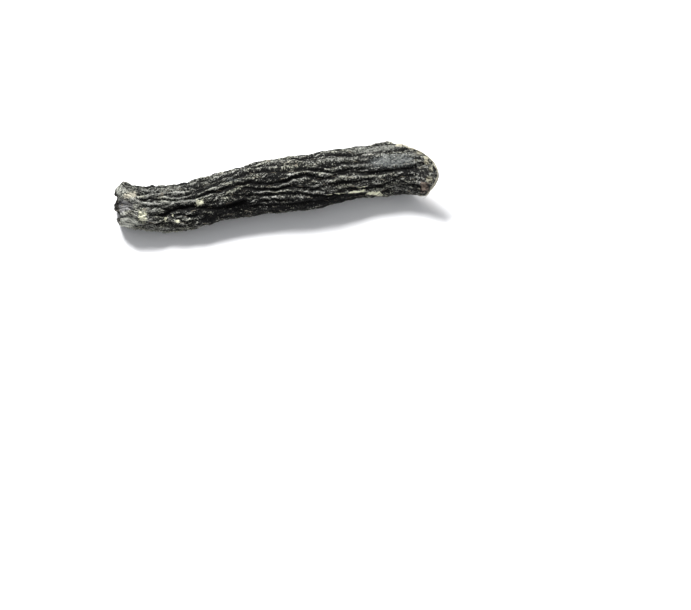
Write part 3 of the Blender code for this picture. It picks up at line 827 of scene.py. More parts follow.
along, around_turn = noted["along"], noted["turn"]
depths = {"all": noted["crease"] + noted["fine"], "furrows": noted["crease"]}
for name, (kind, reach) in RIDGES.items():
    depth = depths[kind][:-2].reshape(-1, AROUND)
    nearby = sum(np.roll(depth, step, axis=1) for step in range(-reach, reach + 1)) / (2 * reach + 1)
    stands_out = np.append((nearby - depth).ravel(), [0, 0])
    spread = np.sqrt(np.mean(stands_out**2))
    keep(skin_mesh, name, np.clip(0.5 + stands_out / (RIDGE_RANGE * spread), 0, 1))
    print(name, "stands out by up to", round(float(stands_out.max()), 2), "mm")
for name, deepest in DEEPEST.items():
    keep(skin_mesh, name, np.clip(noted[name] / deepest, 0, 1))
for name in ("hollow", "torn", "cut"):
    keep(skin_mesh, name, noted[name])
swung = around_turn + wandering(along, around_turn)
tube_points = round_root(along, swung, 1.0, 1.0)
tube_points[:, 1:] *= noted["share"][:, None]
keep(skin_mesh, "tube", tube_points)
on_bark = noted["cut"] < FACE_FROM
rim_distance = np.clip(CUT_MIDDLE + cut_lean(around_turn) - along, 0, None)
rim_width = np.where(np.sin(around_turn) > NEAR_FROM, *RIM_WIDTHS)
rim_width = rim_width * between(*RIM_UNEVENNESS, along, around_turn, 5.0, 40)
keep(skin_mesh, "rim", np.where(on_bark, np.exp(-rim_distance / rim_width), 1.0))
keep(skin_mesh, "face", np.where(
    on_bark[:, None], [[1.0, 0.0, 0.0]],
    np.stack([along * np.cos(around_turn), along * np.sin(around_turn), 0 * along], axis=-1),
))
for name, spots in PATCHES.items():
    keep(skin_mesh, name, spots_at(along, around_turn, spots) * on_bark)
# painted shade: the far side, which faces the key light, is darkened and flattened in the bark's colour
keep(skin_mesh, "far", smooth_step(0.0, 0.6, -np.sin(around_turn)) * on_bark)
keep(skin_mesh, "open", np.where(on_bark & (points[:, 2] > OPEN_ABOVE), 1.0, 0.0))
print("the skin keeps", len(skin_mesh.attributes), "attributes")

# %% [markdown]
# ## The bark
# Dry comfrey bark is nearly black. It is never one colour, though: dust and rubbing leave the ridges grey,
# with a touch of olive, and the creases keep the deepest black. Part of that is painted light: the ridges
# also get a painted highlight and the creases painted shade. Long streaks run with the fibres. The
# colour therefore starts from how high each point stands, and noise that is pulled out along the tube
# breaks it up. Very fine grain and streaks are only shading, because they are thinner than any real
# shape the skin could hold.

# %% Helpers for materials
NOISE_RANGE = (0.3, 0.7)  # where nearly all of a noise's values lie
LOW_SPECULAR = 0.35  # dry bark and paper hardly shine


def add(tree, kind, inputs=None, **settings):
    """Adds a node, sets its settings, and fills its inputs with values or with other nodes' outputs."""
    node = tree.nodes.new(kind)
    for name, value in settings.items():
        setattr(node, name, value)
    for key, value in (inputs or {}).items():
        if isinstance(value, bpy.types.NodeSocket):
            tree.links.new(value, node.inputs[key])
        else:
            node.inputs[key].default_value = value
    return node


def new_material(name):
    """A material with its node tree and its shader."""
    material = bpy.data.materials.new(name)
    material.use_nodes = True
    shader = material.node_tree.nodes["Principled BSDF"]
    shader.inputs["Specular IOR Level"].default_value = LOW_SPECULAR
    return material, material.node_tree, shader


def stored(tree, name, output="Fac"):
    """What the skin's points keep under this name."""
    return add(tree, "ShaderNodeAttribute", attribute_name=name).outputs[output]


def maths(tree, operation, a, b=0.0, clamp=False):
    return add(tree, "ShaderNodeMath", {0: a, 1: b}, operation=operation, use_clamp=clamp).outputs[0]


def noise(tree, place, stretch, detail=4.0, roughness=0.6):
    """Noise over the tube, with separate scales along it and across it."""
    scaled = add(tree, "ShaderNodeMapping", {"Vector": place, "Scale": stretch}).outputs[0]
    inputs = {"Vector": scaled, "Scale": 1.0, "Detail": detail, "Roughness": roughness}
    return add(tree, "ShaderNodeTexNoise", inputs).outputs[0]


def rise(tree, value, low, high, result_low=0.0, result_high=1.0):
    """Maps a value from one range to another, and holds it there."""
    inputs = {"Value": value, 1: low, 2: high, 3: result_low, 4: result_high}
    return add(tree, "ShaderNodeMapRange", inputs).outputs[0]


def blend(tree, share, first, second):
    """Mixes two colours, or what comes out of two other nodes."""
    node = add(tree, "ShaderNodeMix", {0: share}, data_type="RGBA")
    for socket, colour in ((node.inputs[6], first), (node.inputs[7], second)):
        if isinstance(colour, bpy.types.NodeSocket):
            tree.links.new(colour, socket)
        else:
            socket.default_value = (*colour, 1)
    return node.outputs[2]


def ramp(tree, value, stops):
    """Turns a value into a colour, through the colours given for some values."""
    node = add(tree, "ShaderNodeValToRGB", {0: value})
    for element in list(node.color_ramp.elements)[1:]:
        node.color_ramp.elements.remove(element)
    node.color_ramp.elements[0].position = stops[0][0]
    node.color_ramp.elements[0].color = (*stops[0][1], 1)
    for place, colour in stops[1:]:
        node.color_ramp.elements.new(place).color = (*colour, 1)
    return node.outputs[0]


def lines_in(tree, place, stretch, level, narrow):
    """1 on thin crooked lines, where a noise passes through this level, and 0 between them."""
    away = maths(tree, "ABSOLUTE", maths(tree, "SUBTRACT", noise(tree, place, stretch), level))
    return rise(tree, away, 0.0, narrow, 1.0, 0.0)


def weighted(tree, values, weights, total=0.0):
    """Adds up some of these values, each times its weight."""
    for name, weight in weights.items():
        total = maths(tree, "ADD", maths(tree, "MULTIPLY", values[name], weight), total)
    return total


def bump_of(tree, height, distance_mm, below=None):
    """Relief from a height, laid over the relief below it."""
    inputs = {"Strength": 1.0, "Distance": distance_mm * MM, "Height": height}
    if below is not None:
        inputs["Normal"] = below
    return add(tree, "ShaderNodeBump", inputs).outputs[0]


print("a noise keeps mostly between", *NOISE_RANGE)

# %% [markdown]
# The colours come in two kinds. One row of greys goes from the black of the creases, partly painted shade,
# to the pale ridges, rubbed and partly a painted highlight. Each kind of patch has a darker and a lighter
# colour of its own, for what lies low and high in it.

# %% The bark's colours
BARK_SHADES = [
    (0.00, (0.0020, 0.0020, 0.0020)),
    (0.18, (0.0065, 0.0065, 0.0062)),
    (0.34, (0.0240, 0.0243, 0.0226)),
    (0.52, (0.0700, 0.0708, 0.0640)),
    (0.74, (0.1560, 0.1570, 0.1420)),
    (1.00, (0.4400, 0.4420, 0.4040)),
]
OLIVE = (1.03, 1.03, 0.91)  # what the shades are multiplied by where the bark is a little green and brown
PATCH_COLOURS = {  # name: darker and lighter colour, how solid, and the heights where each of them is reached
    "smooth": ((0.010, 0.012, 0.013), (0.215, 0.230, 0.226), 0.62, (0.46, 0.94)),
    "worn": ((0.034, 0.035, 0.030), (0.430, 0.438, 0.392), 0.62, (0.36, 0.88)),
    "ashen": ((0.045, 0.047, 0.040), (0.780, 0.790, 0.700), 0.85, (0.34, 0.80)),
    "cream": ((0.070, 0.062, 0.044), (0.560, 0.530, 0.430), 0.92, (0.30, 0.76)),
    "flesh": ((0.010, 0.006, 0.004), (0.400, 0.310, 0.250), 0.90, (0.58, 1.02)),
    "tan": ((0.022, 0.019, 0.012), (0.580, 0.550, 0.410), 0.78, (0.54, 0.92)),
    "pale": ((0.070, 0.066, 0.038), (0.960, 0.955, 0.720), 0.97, (0.24, 0.56)),
}
RIM_COLOURS = ((0.090, 0.082, 0.056), (0.560, 0.530, 0.420))
TORN_COLOURS = ((0.010, 0.009, 0.010), (0.170, 0.160, 0.125))
HOLLOW_COLOURS = ((0.016, 0.015, 0.016), (0.320, 0.312, 0.320))
print("colours for the bark and for", len(PATCH_COLOURS), "kinds of patches on it")

# %% [markdown]
# Each noise is laid over the tube with its own scale, and most are pulled out along it. A thin line appears
# where a noise passes through one level: that makes dark cracks and pale threads. Together with what the
# points know, the noises will say how light the bark is at each place.

# %% The bark's noises
BARK_NOISES = {  # name: waves for a millimetre along the tube and across it, detail, roughness
    "streaks": ((0.75, 2.0, 2.0), 7.0, 0.72),
    "blotches": ((0.16, 0.26, 0.26), 3.0, 0.55),
    "speckle": ((1.6, 2.0, 2.0), 5.0, 0.85),
    "grain": ((5.0, 6.0, 6.0), 2.0, 0.6),
    "specks": ((2.0, 2.3, 2.3), 0.0, 0.5),
    "grit": ((0.9, 1.3, 1.3), 2.0, 0.5),
    "olive": ((0.10, 0.22, 0.22), 4.0, 0.7),
}
BARK_LINES = {  # name: waves for a millimetre, the level that makes a line, half of the line's width
    "cracks": ((0.20, 0.80, 0.80), 0.50, 0.036),
    "threads": ((0.24, 1.05, 1.05), 0.55, 0.030),
}
KEPT_VALUES = ("ridge", "crest", "shoulder", "crease", "fine", "dark", "far", "hollow", "torn", "rim")

bark, tree, shader = new_material("dry_root_bark")
tube = stored(tree, "tube", "Vector")
seen = {name: stored(tree, name) for name in (*KEPT_VALUES, *PATCH_COLOURS)}
seen.update((name, noise(tree, tube, *look)) for name, look in BARK_NOISES.items())
seen.update((name, lines_in(tree, tube, *look)) for name, look in BARK_LINES.items())
seen["along"] = add(tree, "ShaderNodeSeparateXYZ", {0: tube}).outputs[0]
print("the bark's colour is mixed from", len(seen), "values")

# %% [markdown]
# The shade of a place is a plain sum: so much for standing on a ridge, so much less for lying in a crease,
# and a little up or down for each of the noises. The ridges' part is partly a painted highlight, the
# creases' part partly painted shade, and the dark patches and the far side are painted shade. Some values
# only count over a part of their range. Last, the whole is spread round a middle shade, more on the near
# side than on the far one, which faces the key light.

# %% How light the bark is
# painted light: ridge and crest add a painted highlight, partly also rubbing; crease and fine add painted
# shade, partly also the creases' own black; dark and far are painted shade
SHADE_WEIGHTS = {
    "ridge": 0.44, "crest": 0.20, "crease": -0.44, "fine": -0.28, "dark": -0.28, "far": -0.16,
    "cracks": -0.30, "threads": 0.08,
}
WEATHERED_TO = (12.0, 44.0)  # the thin end is paler, up to here along the root
# the crest and shoulder steps are partly a painted highlight on the thin crests and on the shoulders of the
# furrows
SHADE_STEPS = [
    ("crest", 0.62, 0.95, 0.0, 0.10),
    ("shoulder", 0.58, 0.80, 0.0, 0.11),
    ("specks", 0.58, 0.72, 0.0, 0.34),
    ("specks", 0.28, 0.44, -0.16, 0.0),
    ("grit", *NOISE_RANGE, -0.08, 0.08),
    ("along", *WEATHERED_TO, 0.27, 0.0),
    ("streaks", *NOISE_RANGE, -0.08, 0.08),
    ("speckle", *NOISE_RANGE, -0.42, 0.42),
    ("blotches", *NOISE_RANGE, -0.10, 0.10),
    ("grain", *NOISE_RANGE, -0.07, 0.08),
]  # a value, from where to where it counts, and what it adds at either end
SHADE_START = 0.15
SHADE_MIDDLE = 0.36  # the shade that more contrast leaves as it is
SHADE_CONTRAST = (1.16, 1.72)  # at the thin end and from there on
FAR_CONTRAST = {"far": -0.75}  # painted shade: the far side, which faces the key light, gets less contrast

shade = weighted(tree, seen, SHADE_WEIGHTS, SHADE_START - SHADE_MIDDLE)
for name, *span in SHADE_STEPS:
    shade = maths(tree, "ADD", rise(tree, seen[name], *span), shade)
contrast = weighted(tree, seen, FAR_CONTRAST, rise(tree, seen["along"], *WEATHERED_TO, *SHADE_CONTRAST))
shade = maths(tree, "ADD", maths(tree, "MULTIPLY", shade, contrast), SHADE_MIDDLE)
olive_shades = [(at, tuple(c * tint for c, tint in zip(colour, OLIVE))) for at, colour in BARK_SHADES]
olive_share = rise(tree, seen["olive"], 0.44, 0.62)
colour = blend(tree, olive_share, ramp(tree, shade, BARK_SHADES), ramp(tree, shade, olive_shades))
print("the shade is the sum of", len(SHADE_WEIGHTS) + len(SHADE_STEPS), "parts")

# %% [markdown]
# The patches are laid over the bark one after another. A patch that is soft on the skin gets a ragged,
# grainy edge from the noises, and inside it the crests and grains are lighter than what lies between them.

# %% Lay the patches over the bark
# the crests' part is partly a painted highlight, and the creases' part partly painted shade
TINT_WEIGHTS = {"crest": 0.5, "speckle": 1.1, "fine": -0.35, "cracks": -0.40, "grain": 0.3}
PATCH_EDGE = (0.36, 0.56)  # the amounts between which a patch begins
HOLLOW_EDGE, HOLLOW_SOLID, HOLLOW_HEIGHTS = (0.40, 0.65), 0.80, (0.45, 1.00)
TORN_EDGE, TORN_SOLID, TORN_HEIGHTS = (0.3, 0.6), 0.9, (0.32, 0.6)
TORN_WEIGHTS = {"fine": -0.2}
RIM_EDGE, RIM_HEIGHTS = (0.36, 0.50), (0.40, 0.75)


def crisp(tree, amount, low, high):
    """Turns a soft patch into one with a ragged, grainy edge."""
    grains = rise(tree, seen["speckle"], *NOISE_RANGE, -0.42, 0.42)
    broken = maths(tree, "ADD", grains, rise(tree, seen["streaks"], *NOISE_RANGE, -0.2, 0.2))
    there = rise(tree, amount, 0.02, 0.2)
    return rise(tree, maths(tree, "ADD", amount, maths(tree, "MULTIPLY", broken, there)), low, high)


def uneven_tint(tree, colours, low, high):
    """The lighter colour on the crests and grains, and the darker one between them."""
    return blend(tree, rise(tree, weighted(tree, seen, TINT_WEIGHTS), low, high), *colours)


for name, (darker, lighter, solid, heights) in PATCH_COLOURS.items():
    share = maths(tree, "MULTIPLY", crisp(tree, seen[name], *PATCH_EDGE), solid)
    colour = blend(tree, share, colour, uneven_tint(tree, (darker, lighter), *heights))
hollow_share = maths(tree, "MULTIPLY", crisp(tree, seen["hollow"], *HOLLOW_EDGE), HOLLOW_SOLID)
colour = blend(tree, hollow_share, colour, uneven_tint(tree, HOLLOW_COLOURS, *HOLLOW_HEIGHTS))
torn_share = maths(tree, "MULTIPLY", crisp(tree, seen["torn"], *TORN_EDGE), TORN_SOLID)
torn_height = weighted(tree, seen, TORN_WEIGHTS, seen["speckle"])
torn_tint = blend(tree, rise(tree, torn_height, *TORN_HEIGHTS), *TORN_COLOURS)
colour = blend(tree, torn_share, colour, torn_tint)
uneven_rim = maths(tree, "ADD", seen["rim"], rise(tree, seen["speckle"], *NOISE_RANGE, -0.16, 0.16))
colour = blend(tree, rise(tree, uneven_rim, *RIM_EDGE), colour, uneven_tint(tree, RIM_COLOURS, *RIM_HEIGHTS))
tree.links.new(colour, shader.inputs["Base Color"])
print("patches laid over the bark:", ", ".join(PATCH_COLOURS))

# %% [markdown]
# Dry bark hardly shines, and only the smooth patches a little more than the rest. Relief that is too fine
# for the mesh is given by the same noises, so that a dark line is also a groove and a pale grain stands up.

# %% The bark's gloss and relief
BARK_SPECULAR = 0.16
BARK_ROUGHNESS = (0.62, 0.95)
SMOOTH_GLOSS = {"smooth": -0.12}  # the smooth patches are a little less rough
SPECKLE_RELIEF, STREAK_RELIEF, GRAIN_RELIEF = 0.70, 0.35, 0.12  # in millimetres
CRACK_RELIEF = {"cracks": -0.30}

shader.inputs["Specular IOR Level"].default_value = BARK_SPECULAR
gloss = rise(tree, seen["speckle"], *NOISE_RANGE, *BARK_ROUGHNESS)
tree.links.new(weighted(tree, seen, SMOOTH_GLOSS, gloss), shader.inputs["Roughness"])
relief = bump_of(tree, weighted(tree, seen, CRACK_RELIEF, seen["speckle"]), SPECKLE_RELIEF)
relief = bump_of(tree, seen["streaks"], STREAK_RELIEF, relief)
tree.links.new(bump_of(tree, seen["grain"], GRAIN_RELIEF, relief), shader.inputs["Normal"])
print(bark.name, "has", len(tree.nodes), "nodes")

# %% [markdown]
# ## The cut flesh
# Inside its black bark, a comfrey root is cream-coloured. A cut face dries to a horny tan, with a darker ring
# where the bark meets the wood, and fine rays from the middle out. Each point of the face knows
# its place on a unit disc, so rings come from its distance from the middle, and rays from its direction.

# %% The cut face's material
FLESH_RINGS = [  # colours from the middle of the face out to its edge
    (0.00, (0.19, 0.140, 0.088)),
    (0.14, (0.33, 0.260, 0.170)),
    (0.50, (0.42, 0.345, 0.240)),
    (0.61, (0.12, 0.086, 0.054)),
    (0.67, (0.36, 0.295, 0.205)),
    (0.85, (0.40, 0.340, 0.245)),
    (0.94, (0.20, 0.165, 0.115)),
]
DIRT_COLOUR = (0.085, 0.064, 0.042)
DRY_EDGE_COLOUR = (0.016, 0.015, 0.013)
FACE_NOISES = {  # name: waves for the face's radius, detail, roughness
    "rays": (9, 4.0, 0.7),
    "clouds": (3, 5.0, 0.6),
    "grime": (13, 4.0, 0.75),
    "fibres": (22, 4.0, 0.7),
}
RAY_PULL = (0.45, 0.45, 0.45)  # how little a ray changes outwards, against how much it does round the face
RAY_RELIEF, FIBRE_RELIEF = 0.25, 0.18  # in millimetres

flesh, tree, shader = new_material("cut_root_flesh")
disc = stored(tree, "face", "Vector")
out = add(tree, "ShaderNodeVectorMath", {0: disc}, operation="LENGTH").outputs[1]
direction = add(tree, "ShaderNodeVectorMath", {0: disc}, operation="NORMALIZE").outputs[0]
pulled = {0: disc, 1: RAY_PULL, 2: direction}
warped = add(tree, "ShaderNodeVectorMath", pulled, operation="MULTIPLY_ADD").outputs[0]
on_face = {
    name: noise(tree, warped if name == "rays" else disc, (size, size, size), *look)
    for name, (size, *look) in FACE_NOISES.items()
}
ring_place = maths(tree, "ADD", out, rise(tree, on_face["clouds"], *NOISE_RANGE, -0.05, 0.05))
dirt = maths(
    tree, "ADD",
    rise(tree, on_face["rays"], 0.38, 0.62, 0.0, 0.42),
    rise(tree, on_face["clouds"], 0.38, 0.64, 0.0, 0.34),
)
dirt = maths(tree, "ADD", dirt, rise(tree, on_face["grime"], 0.52, 0.66, 0.0, 0.40), clamp=True)
flesh_colour = blend(tree, dirt, ramp(tree, ring_place, FLESH_RINGS), DIRT_COLOUR)
dry_edge = rise(tree, ring_place, 0.87, 0.95, 0.0, 0.92)
flesh_colour = blend(tree, dry_edge, flesh_colour, DRY_EDGE_COLOUR)
tree.links.new(flesh_colour, shader.inputs["Base Color"])
tree.links.new(rise(tree, on_face["clouds"], *NOISE_RANGE, 0.5, 0.75), shader.inputs["Roughness"])
ray_relief = bump_of(tree, on_face["rays"], RAY_RELIEF)
tree.links.new(bump_of(tree, on_face["fibres"], FIBRE_RELIEF, ray_relief), shader.inputs["Normal"])

skin_mesh.materials.append(bark)
skin_mesh.materials.append(flesh)
for polygon in skin_mesh.polygons:
    polygon.material_index = int(not on_bark[list(polygon.vertices)].all())
print(flesh.name, "covers", sum(p.material_index for p in skin_mesh.polygons), "faces of the cut")

# %% [markdown]
# ## Fibres, scars, flakes and dust
# Small things lie all over such a root: scars where rootlets broke off, hair-thin fibres, lifted flakes of
# bark, and crumbs of pale dust. There are hundreds, and each kind is one small shape set on the skin
# again and again, turned to lie on it. That is what Geometry Nodes do best: they scatter points over the
# skin, set the shape on each, and vary its size. One tree does for all kinds, with different inputs.

# %% A tree that scatters a small shape over the skin
SCATTER_INPUTS = {  # key: the input's name, its kind, and its value until it is set
    "skin": ("Skin", "Geometry", None),
    "shape": ("Shape", "Object", None),
    "density": ("Pieces per square metre", "Float", 1000.0),
    "gap": ("Smallest gap", "Float", 0.001),
    "smallest": ("Smallest size", "Float", 0.5),
    "largest": ("Largest size", "Float", 1.0),
    "stray": ("Stray from the root's line", "Float", 0.2),
    "sunk": ("How far sunk in", "Float", 0.0),
    "where": ("Where", "String", "crease"),
    "from": ("From", "Float", 0.0),
    "to": ("To", "Float", 1.0),
    "seed": ("Seed", "Int", 1),
    "material": ("Material", "Material", None),
}


def interface(tree, name, kind, default):
    """Gives the tree one named input, and returns the identifier by which it is set."""
    socket = tree.interface.new_socket(name, in_out="INPUT", socket_type="NodeSocket" + kind)
    if default is not None:
        socket.default_value = default
    return socket.identifier


def chosen_part(tree, given):
    """The part of the skin where the attribute named in Where lies between From and To."""
    named = {"Name": given["Where"]}
    place = add(tree, "GeometryNodeInputNamedAttribute", named, data_type="FLOAT").outputs[0]
    above = add(tree, "FunctionNodeCompare", {0: place, 1: given["From"]}, operation="GREATER_EQUAL")
    below = add(tree, "FunctionNodeCompare", {0: place, 1: given["To"]}, operation="LESS_EQUAL")
    both = {0: above.outputs[0], 1: below.outputs[0]}
    return add(tree, "FunctionNodeBooleanMath", both, operation="AND").outputs[0]


def along_the_root(tree, given, upright):
    """Turns a piece that stands on the skin to point along the root, and lets it stray a little."""
    aligned = {"Rotation": upright, "Vector": (1, 0, 0)}
    aligned = add(tree, "FunctionNodeAlignRotationToVector", aligned, axis="X", pivot_axis="Z").outputs[0]
    most = given["Stray from the root's line"]
    least = add(tree, "ShaderNodeMath", {0: most, 1: -1.0}, operation="MULTIPLY").outputs[0]
    between_them = {2: least, 3: most, "Seed": given["Seed"]}
    stray = add(tree, "FunctionNodeRandomValue", between_them, data_type="FLOAT").outputs[1]
    twist = add(tree, "ShaderNodeCombineXYZ", {2: stray}).outputs[0]
    twist = add(tree, "FunctionNodeEulerToRotation", {0: twist}).outputs[0]
    both = {0: aligned, 1: twist}
    return add(tree, "FunctionNodeRotateRotation", both, rotation_space="LOCAL").outputs[0]


def scatter_tree(name):
    """Points over part of the skin, with one shape on each, upright on the skin and along the root."""
    tree = bpy.data.node_groups.new(name, "GeometryNodeTree")
    tree.interface.new_socket("Pieces", in_out="OUTPUT", socket_type="NodeSocketGeometry")
    ids = {key: interface(tree, *described) for key, described in SCATTER_INPUTS.items()}
    given = tree.nodes.new("NodeGroupInput").outputs
    spread = add(tree, "GeometryNodeDistributePointsOnFaces", {
        "Mesh": given["Skin"], "Selection": chosen_part(tree, given), "Distance Min": given["Smallest gap"],
        "Density Max": given["Pieces per square metre"], "Seed": given["Seed"],
    }, distribute_method="POISSON").outputs
    size = add(tree, "FunctionNodeRandomValue", {
        2: given["Smallest size"], 3: given["Largest size"], "Seed": given["Seed"],
    }, data_type="FLOAT").outputs[1]
    sunk = {0: given["How far sunk in"], 1: -1.0}
    down = add(tree, "ShaderNodeMath", sunk, operation="MULTIPLY").outputs[0]
    inward = {0: spread["Normal"], "Scale": down}
    inward = add(tree, "ShaderNodeVectorMath", inward, operation="SCALE").outputs[0]
    lowered = {"Geometry": spread["Points"], "Offset": inward}
    pieces = add(tree, "GeometryNodeInstanceOnPoints", {
        "Points": add(tree, "GeometryNodeSetPosition", lowered).outputs[0],
        "Instance": add(tree, "GeometryNodeObjectInfo", {"Object": given["Shape"]}).outputs["Geometry"],
        "Rotation": along_the_root(tree, given, spread["Rotation"]),
        "Scale": size,
    }).outputs[0]
    real = add(tree, "GeometryNodeRealizeInstances", {"Geometry": pieces}).outputs[0]
    dressed = {"Geometry": real, "Material": given["Material"]}
    finished = add(tree, "GeometryNodeSetMaterial", dressed).outputs[0]
    tree.links.new(finished, tree.nodes.new("NodeGroupOutput").inputs[0])
    return tree, ids


scatter_group, scatter_ids = scatter_tree("scatter_over_skin")
print("the tree has", len(scatter_group.nodes), "nodes and", len(scatter_ids), "inputs")

# %% [markdown]
# The tree runs on a passing object that shares the skin's mesh. Its inputs are set by their identifiers
# before it is first evaluated. What comes out becomes a plain mesh, and the passing object is removed.

# %% Run the tree, and make a small shape for it
def scatter(name, shape, values):
    """Runs the tree over the skin, and keeps what it makes as a plain mesh, inside the solid's box."""
    maker = bpy.data.objects.new(name + "_maker", skin_mesh)
    bpy.context.scene.collection.objects.link(maker)
    modifier = maker.modifiers.new("scatter", "NODES")
    modifier.node_group = scatter_group
    for key, value in dict(values, shape=shape).items():
        modifier[scatter_ids[key]] = value
    bpy.context.view_layer.update()
    evaluated = maker.evaluated_get(bpy.context.evaluated_depsgraph_get())
    mesh = bpy.data.meshes.new_from_object(evaluated)
    mesh.name = name
    bpy.data.objects.remove(maker)
    for point in mesh.vertices:
        point.co = [min(max(c, low), high) for c, low, high in zip(point.co, *cad_box)]
    piece = bpy.data.objects.new(name, mesh)
    bpy.context.scene.collection.objects.link(piece)
    mesh.shade_smooth()
    count = len(mesh.polygons)
    print(name, "has", count // len(shape.data.polygons), "pieces and", count, "faces")
    return piece


def small_shape(name, points, faces):
    """An object from points in millimetres and faces."""
    mesh = bpy.data.meshes.new(name)
    mesh.from_pydata([tuple(c * MM for c in point) for point in points], [], faces)
    shape = bpy.data.objects.new(name, mesh)
    bpy.context.scene.collection.objects.link(shape)
    return shape


print("ready to scatter over", len(skin_mesh.polygons), "faces of the skin")

# %% [markdown]
# The shapes themselves are tiny and plain. A scar is a low round cone with a dimple in its top. A fibre
# is a three-sided thread that bends away from the bark in the middle of its length. A flake is a thin
# curled chip, and a crumb of dust is an uneven lump.

# %% Make the four small shapes
SCAR_PROFILE = [(1.00, -0.25), (0.92, 0.02), (0.72, 0.20), (0.50, 0.26), (0.34, 0.17), (0.16, 0.10)]
SCAR_SIDES = 9
SCAR_STRETCH = 1.25  # a scar is longer along the root than across it
FIBRE_LENGTH = 3.2
FIBRE_THICKNESS = 0.045
FIBRE_LIFT = 0.22  # how far the middle of a fibre stands off the bark
FIBRE_RINGS = 8
FLAKE_RINGS = 6
FLAKE_LENGTH = 1.6
FLAKE_WIDTH = 0.34
FLAKE_THICKNESS = 0.035
FLAKE_CURL = 0.22
CRUMB_RINGS = [
    (-0.42, 0, 0.02, 0.16, 0.14), (-0.12, 0.04, 0, 0.44, 0.36), (0.2, -0.05, 0.05, 0.38, 0.40),
    (0.44, 0, 0, 0.14, 0.12),
]


def ringed(rings, sides, waver=0.0):
    """Closed shape from rings of (x, y middle, z middle, radius y, radius z), with a point at each end."""
    points, faces = [], []
    for number, (x, y, z, wide, high) in enumerate(rings):
        for side_number in range(sides):
            angle = 2 * math.pi * side_number / sides
            grow = 1 + waver * math.sin(3.1 * number + 2.3 * side_number)
            points.append((x, y + wide * grow * math.cos(angle), z + high * grow * math.sin(angle)))
    for number in range(len(rings) - 1):
        for side_number in range(sides):
            following = (side_number + 1) % sides
            a, b = number * sides, (number + 1) * sides
            faces.append((a + side_number, a + following, b + following, b + side_number))
    faces.append(tuple(reversed(range(sides))))
    last = (len(rings) - 1) * sides
    faces.append(tuple(range(last, last + sides)))
    return points, faces


def scar_shape():
    """A low cone with a dimple in its top, sunk a little into the bark."""
    points = []
    for radius, z in SCAR_PROFILE:
        for k in range(SCAR_SIDES):
            angle = 2 * math.pi * k / SCAR_SIDES
            points.append((radius * math.cos(angle) * SCAR_STRETCH, radius * math.sin(angle), z))
    faces = []
    for i in range(len(SCAR_PROFILE) - 1):
        for k in range(SCAR_SIDES):
            a, b, following = i * SCAR_SIDES, (i + 1) * SCAR_SIDES, (k + 1) % SCAR_SIDES
            faces.append((a + k, a + following, b + following, b + k))
    last = (len(SCAR_PROFILE) - 1) * SCAR_SIDES
    faces.append(tuple(range(last, last + SCAR_SIDES)))
    faces.append(tuple(reversed(range(SCAR_SIDES))))
    return small_shape("rootlet_scar_shape", points, faces)


def fibre_shape():
    """A thread with three sides, thickest in the middle, where it also bends off the bark."""
    rings = []
    for k in range(FIBRE_RINGS):
        t = k / (FIBRE_RINGS - 1)
        bend = math.sin(math.pi * t)
        thin = FIBRE_THICKNESS * (0.35 + 0.65 * bend)
        sway = 0.12 * FIBRE_LENGTH * math.sin(4.2 * t)
        rings.append(((t - 0.5) * FIBRE_LENGTH, sway, FIBRE_LIFT * bend - 0.02, thin, thin))
    return small_shape("fibre_shape", *ringed(rings, 3))


def flake_shape():
    """A thin chip that curls up towards its free end."""
    rings = []
    for k in range(FLAKE_RINGS):
        t = k / (FLAKE_RINGS - 1)
        wide = FLAKE_WIDTH * math.sin(math.pi * (0.12 + 0.8 * t)) ** 0.7
        curled = -0.05 + FLAKE_CURL * t**2
        rings.append(((t - 0.3) * FLAKE_LENGTH, 0.08 * math.sin(5 * t), curled, wide, FLAKE_THICKNESS))
    return small_shape("flake_shape", *ringed(rings, 6, 0.16))


def crumb_shape():
    """An uneven lump."""
    return small_shape("crumb_shape", *ringed(CRUMB_RINGS, 5, 0.15))


scar, fibre, flake, crumb = shapes = [scar_shape(), fibre_shape(), flake_shape(), crumb_shape()]
print("faces of each shape:", [len(shape.data.polygons) for shape in shapes])

# %% [markdown]
# Each kind gets a simple finish of its own that still varies from place to place: the scars are a dusty
# brown-grey, the fibres straw-coloured to black, the flakes as dark as the bark they lift from, and the dust
# nearly white.

# %% Finishes of the small pieces
SPECKLED_RELIEF = 0.05


def speckled(name, dark, light, scale_per_mm, roughness):
    """Two colours mixed by noise, with a little relief from the same noise."""
    material, tree, shader = new_material(name)
    place = add(tree, "ShaderNodeTexCoord").outputs["Object"]
    size = scale_per_mm / MM
    pattern = noise(tree, place, (size, size, size), 4.0, 0.65)
    tree.links.new(blend(tree, rise(tree, pattern, 0.35, 0.65), dark, light), shader.inputs["Base Color"])
    tree.links.new(bump_of(tree, pattern, SPECKLED_RELIEF), shader.inputs["Normal"])
    shader.inputs["Roughness"].default_value = roughness
    return material


scar_finish = speckled("rootlet_scar_bark", (0.030, 0.027, 0.022), (0.210, 0.190, 0.150), 2.2, 0.85)
fibre_finish = speckled("dry_fibre", (0.060, 0.052, 0.038), (0.420, 0.370, 0.270), 0.5, 0.7)
flake_finish = speckled("lifted_bark", (0.012, 0.012, 0.011), (0.190, 0.185, 0.160), 1.5, 0.8)
dust_finish = speckled("pale_dust", (0.500, 0.490, 0.440), (0.800, 0.790, 0.740), 3.0, 0.9)
print("finishes:", scar_finish.name, fibre_finish.name, flake_finish.name, dust_finish.name)

# %% [markdown]
# Where the pieces go is read from what the skin's points keep: dust on the dusty patches, flakes on the
# ridges, fibres and scars on the open upper side. A fixed seed makes them fall the same way every time.

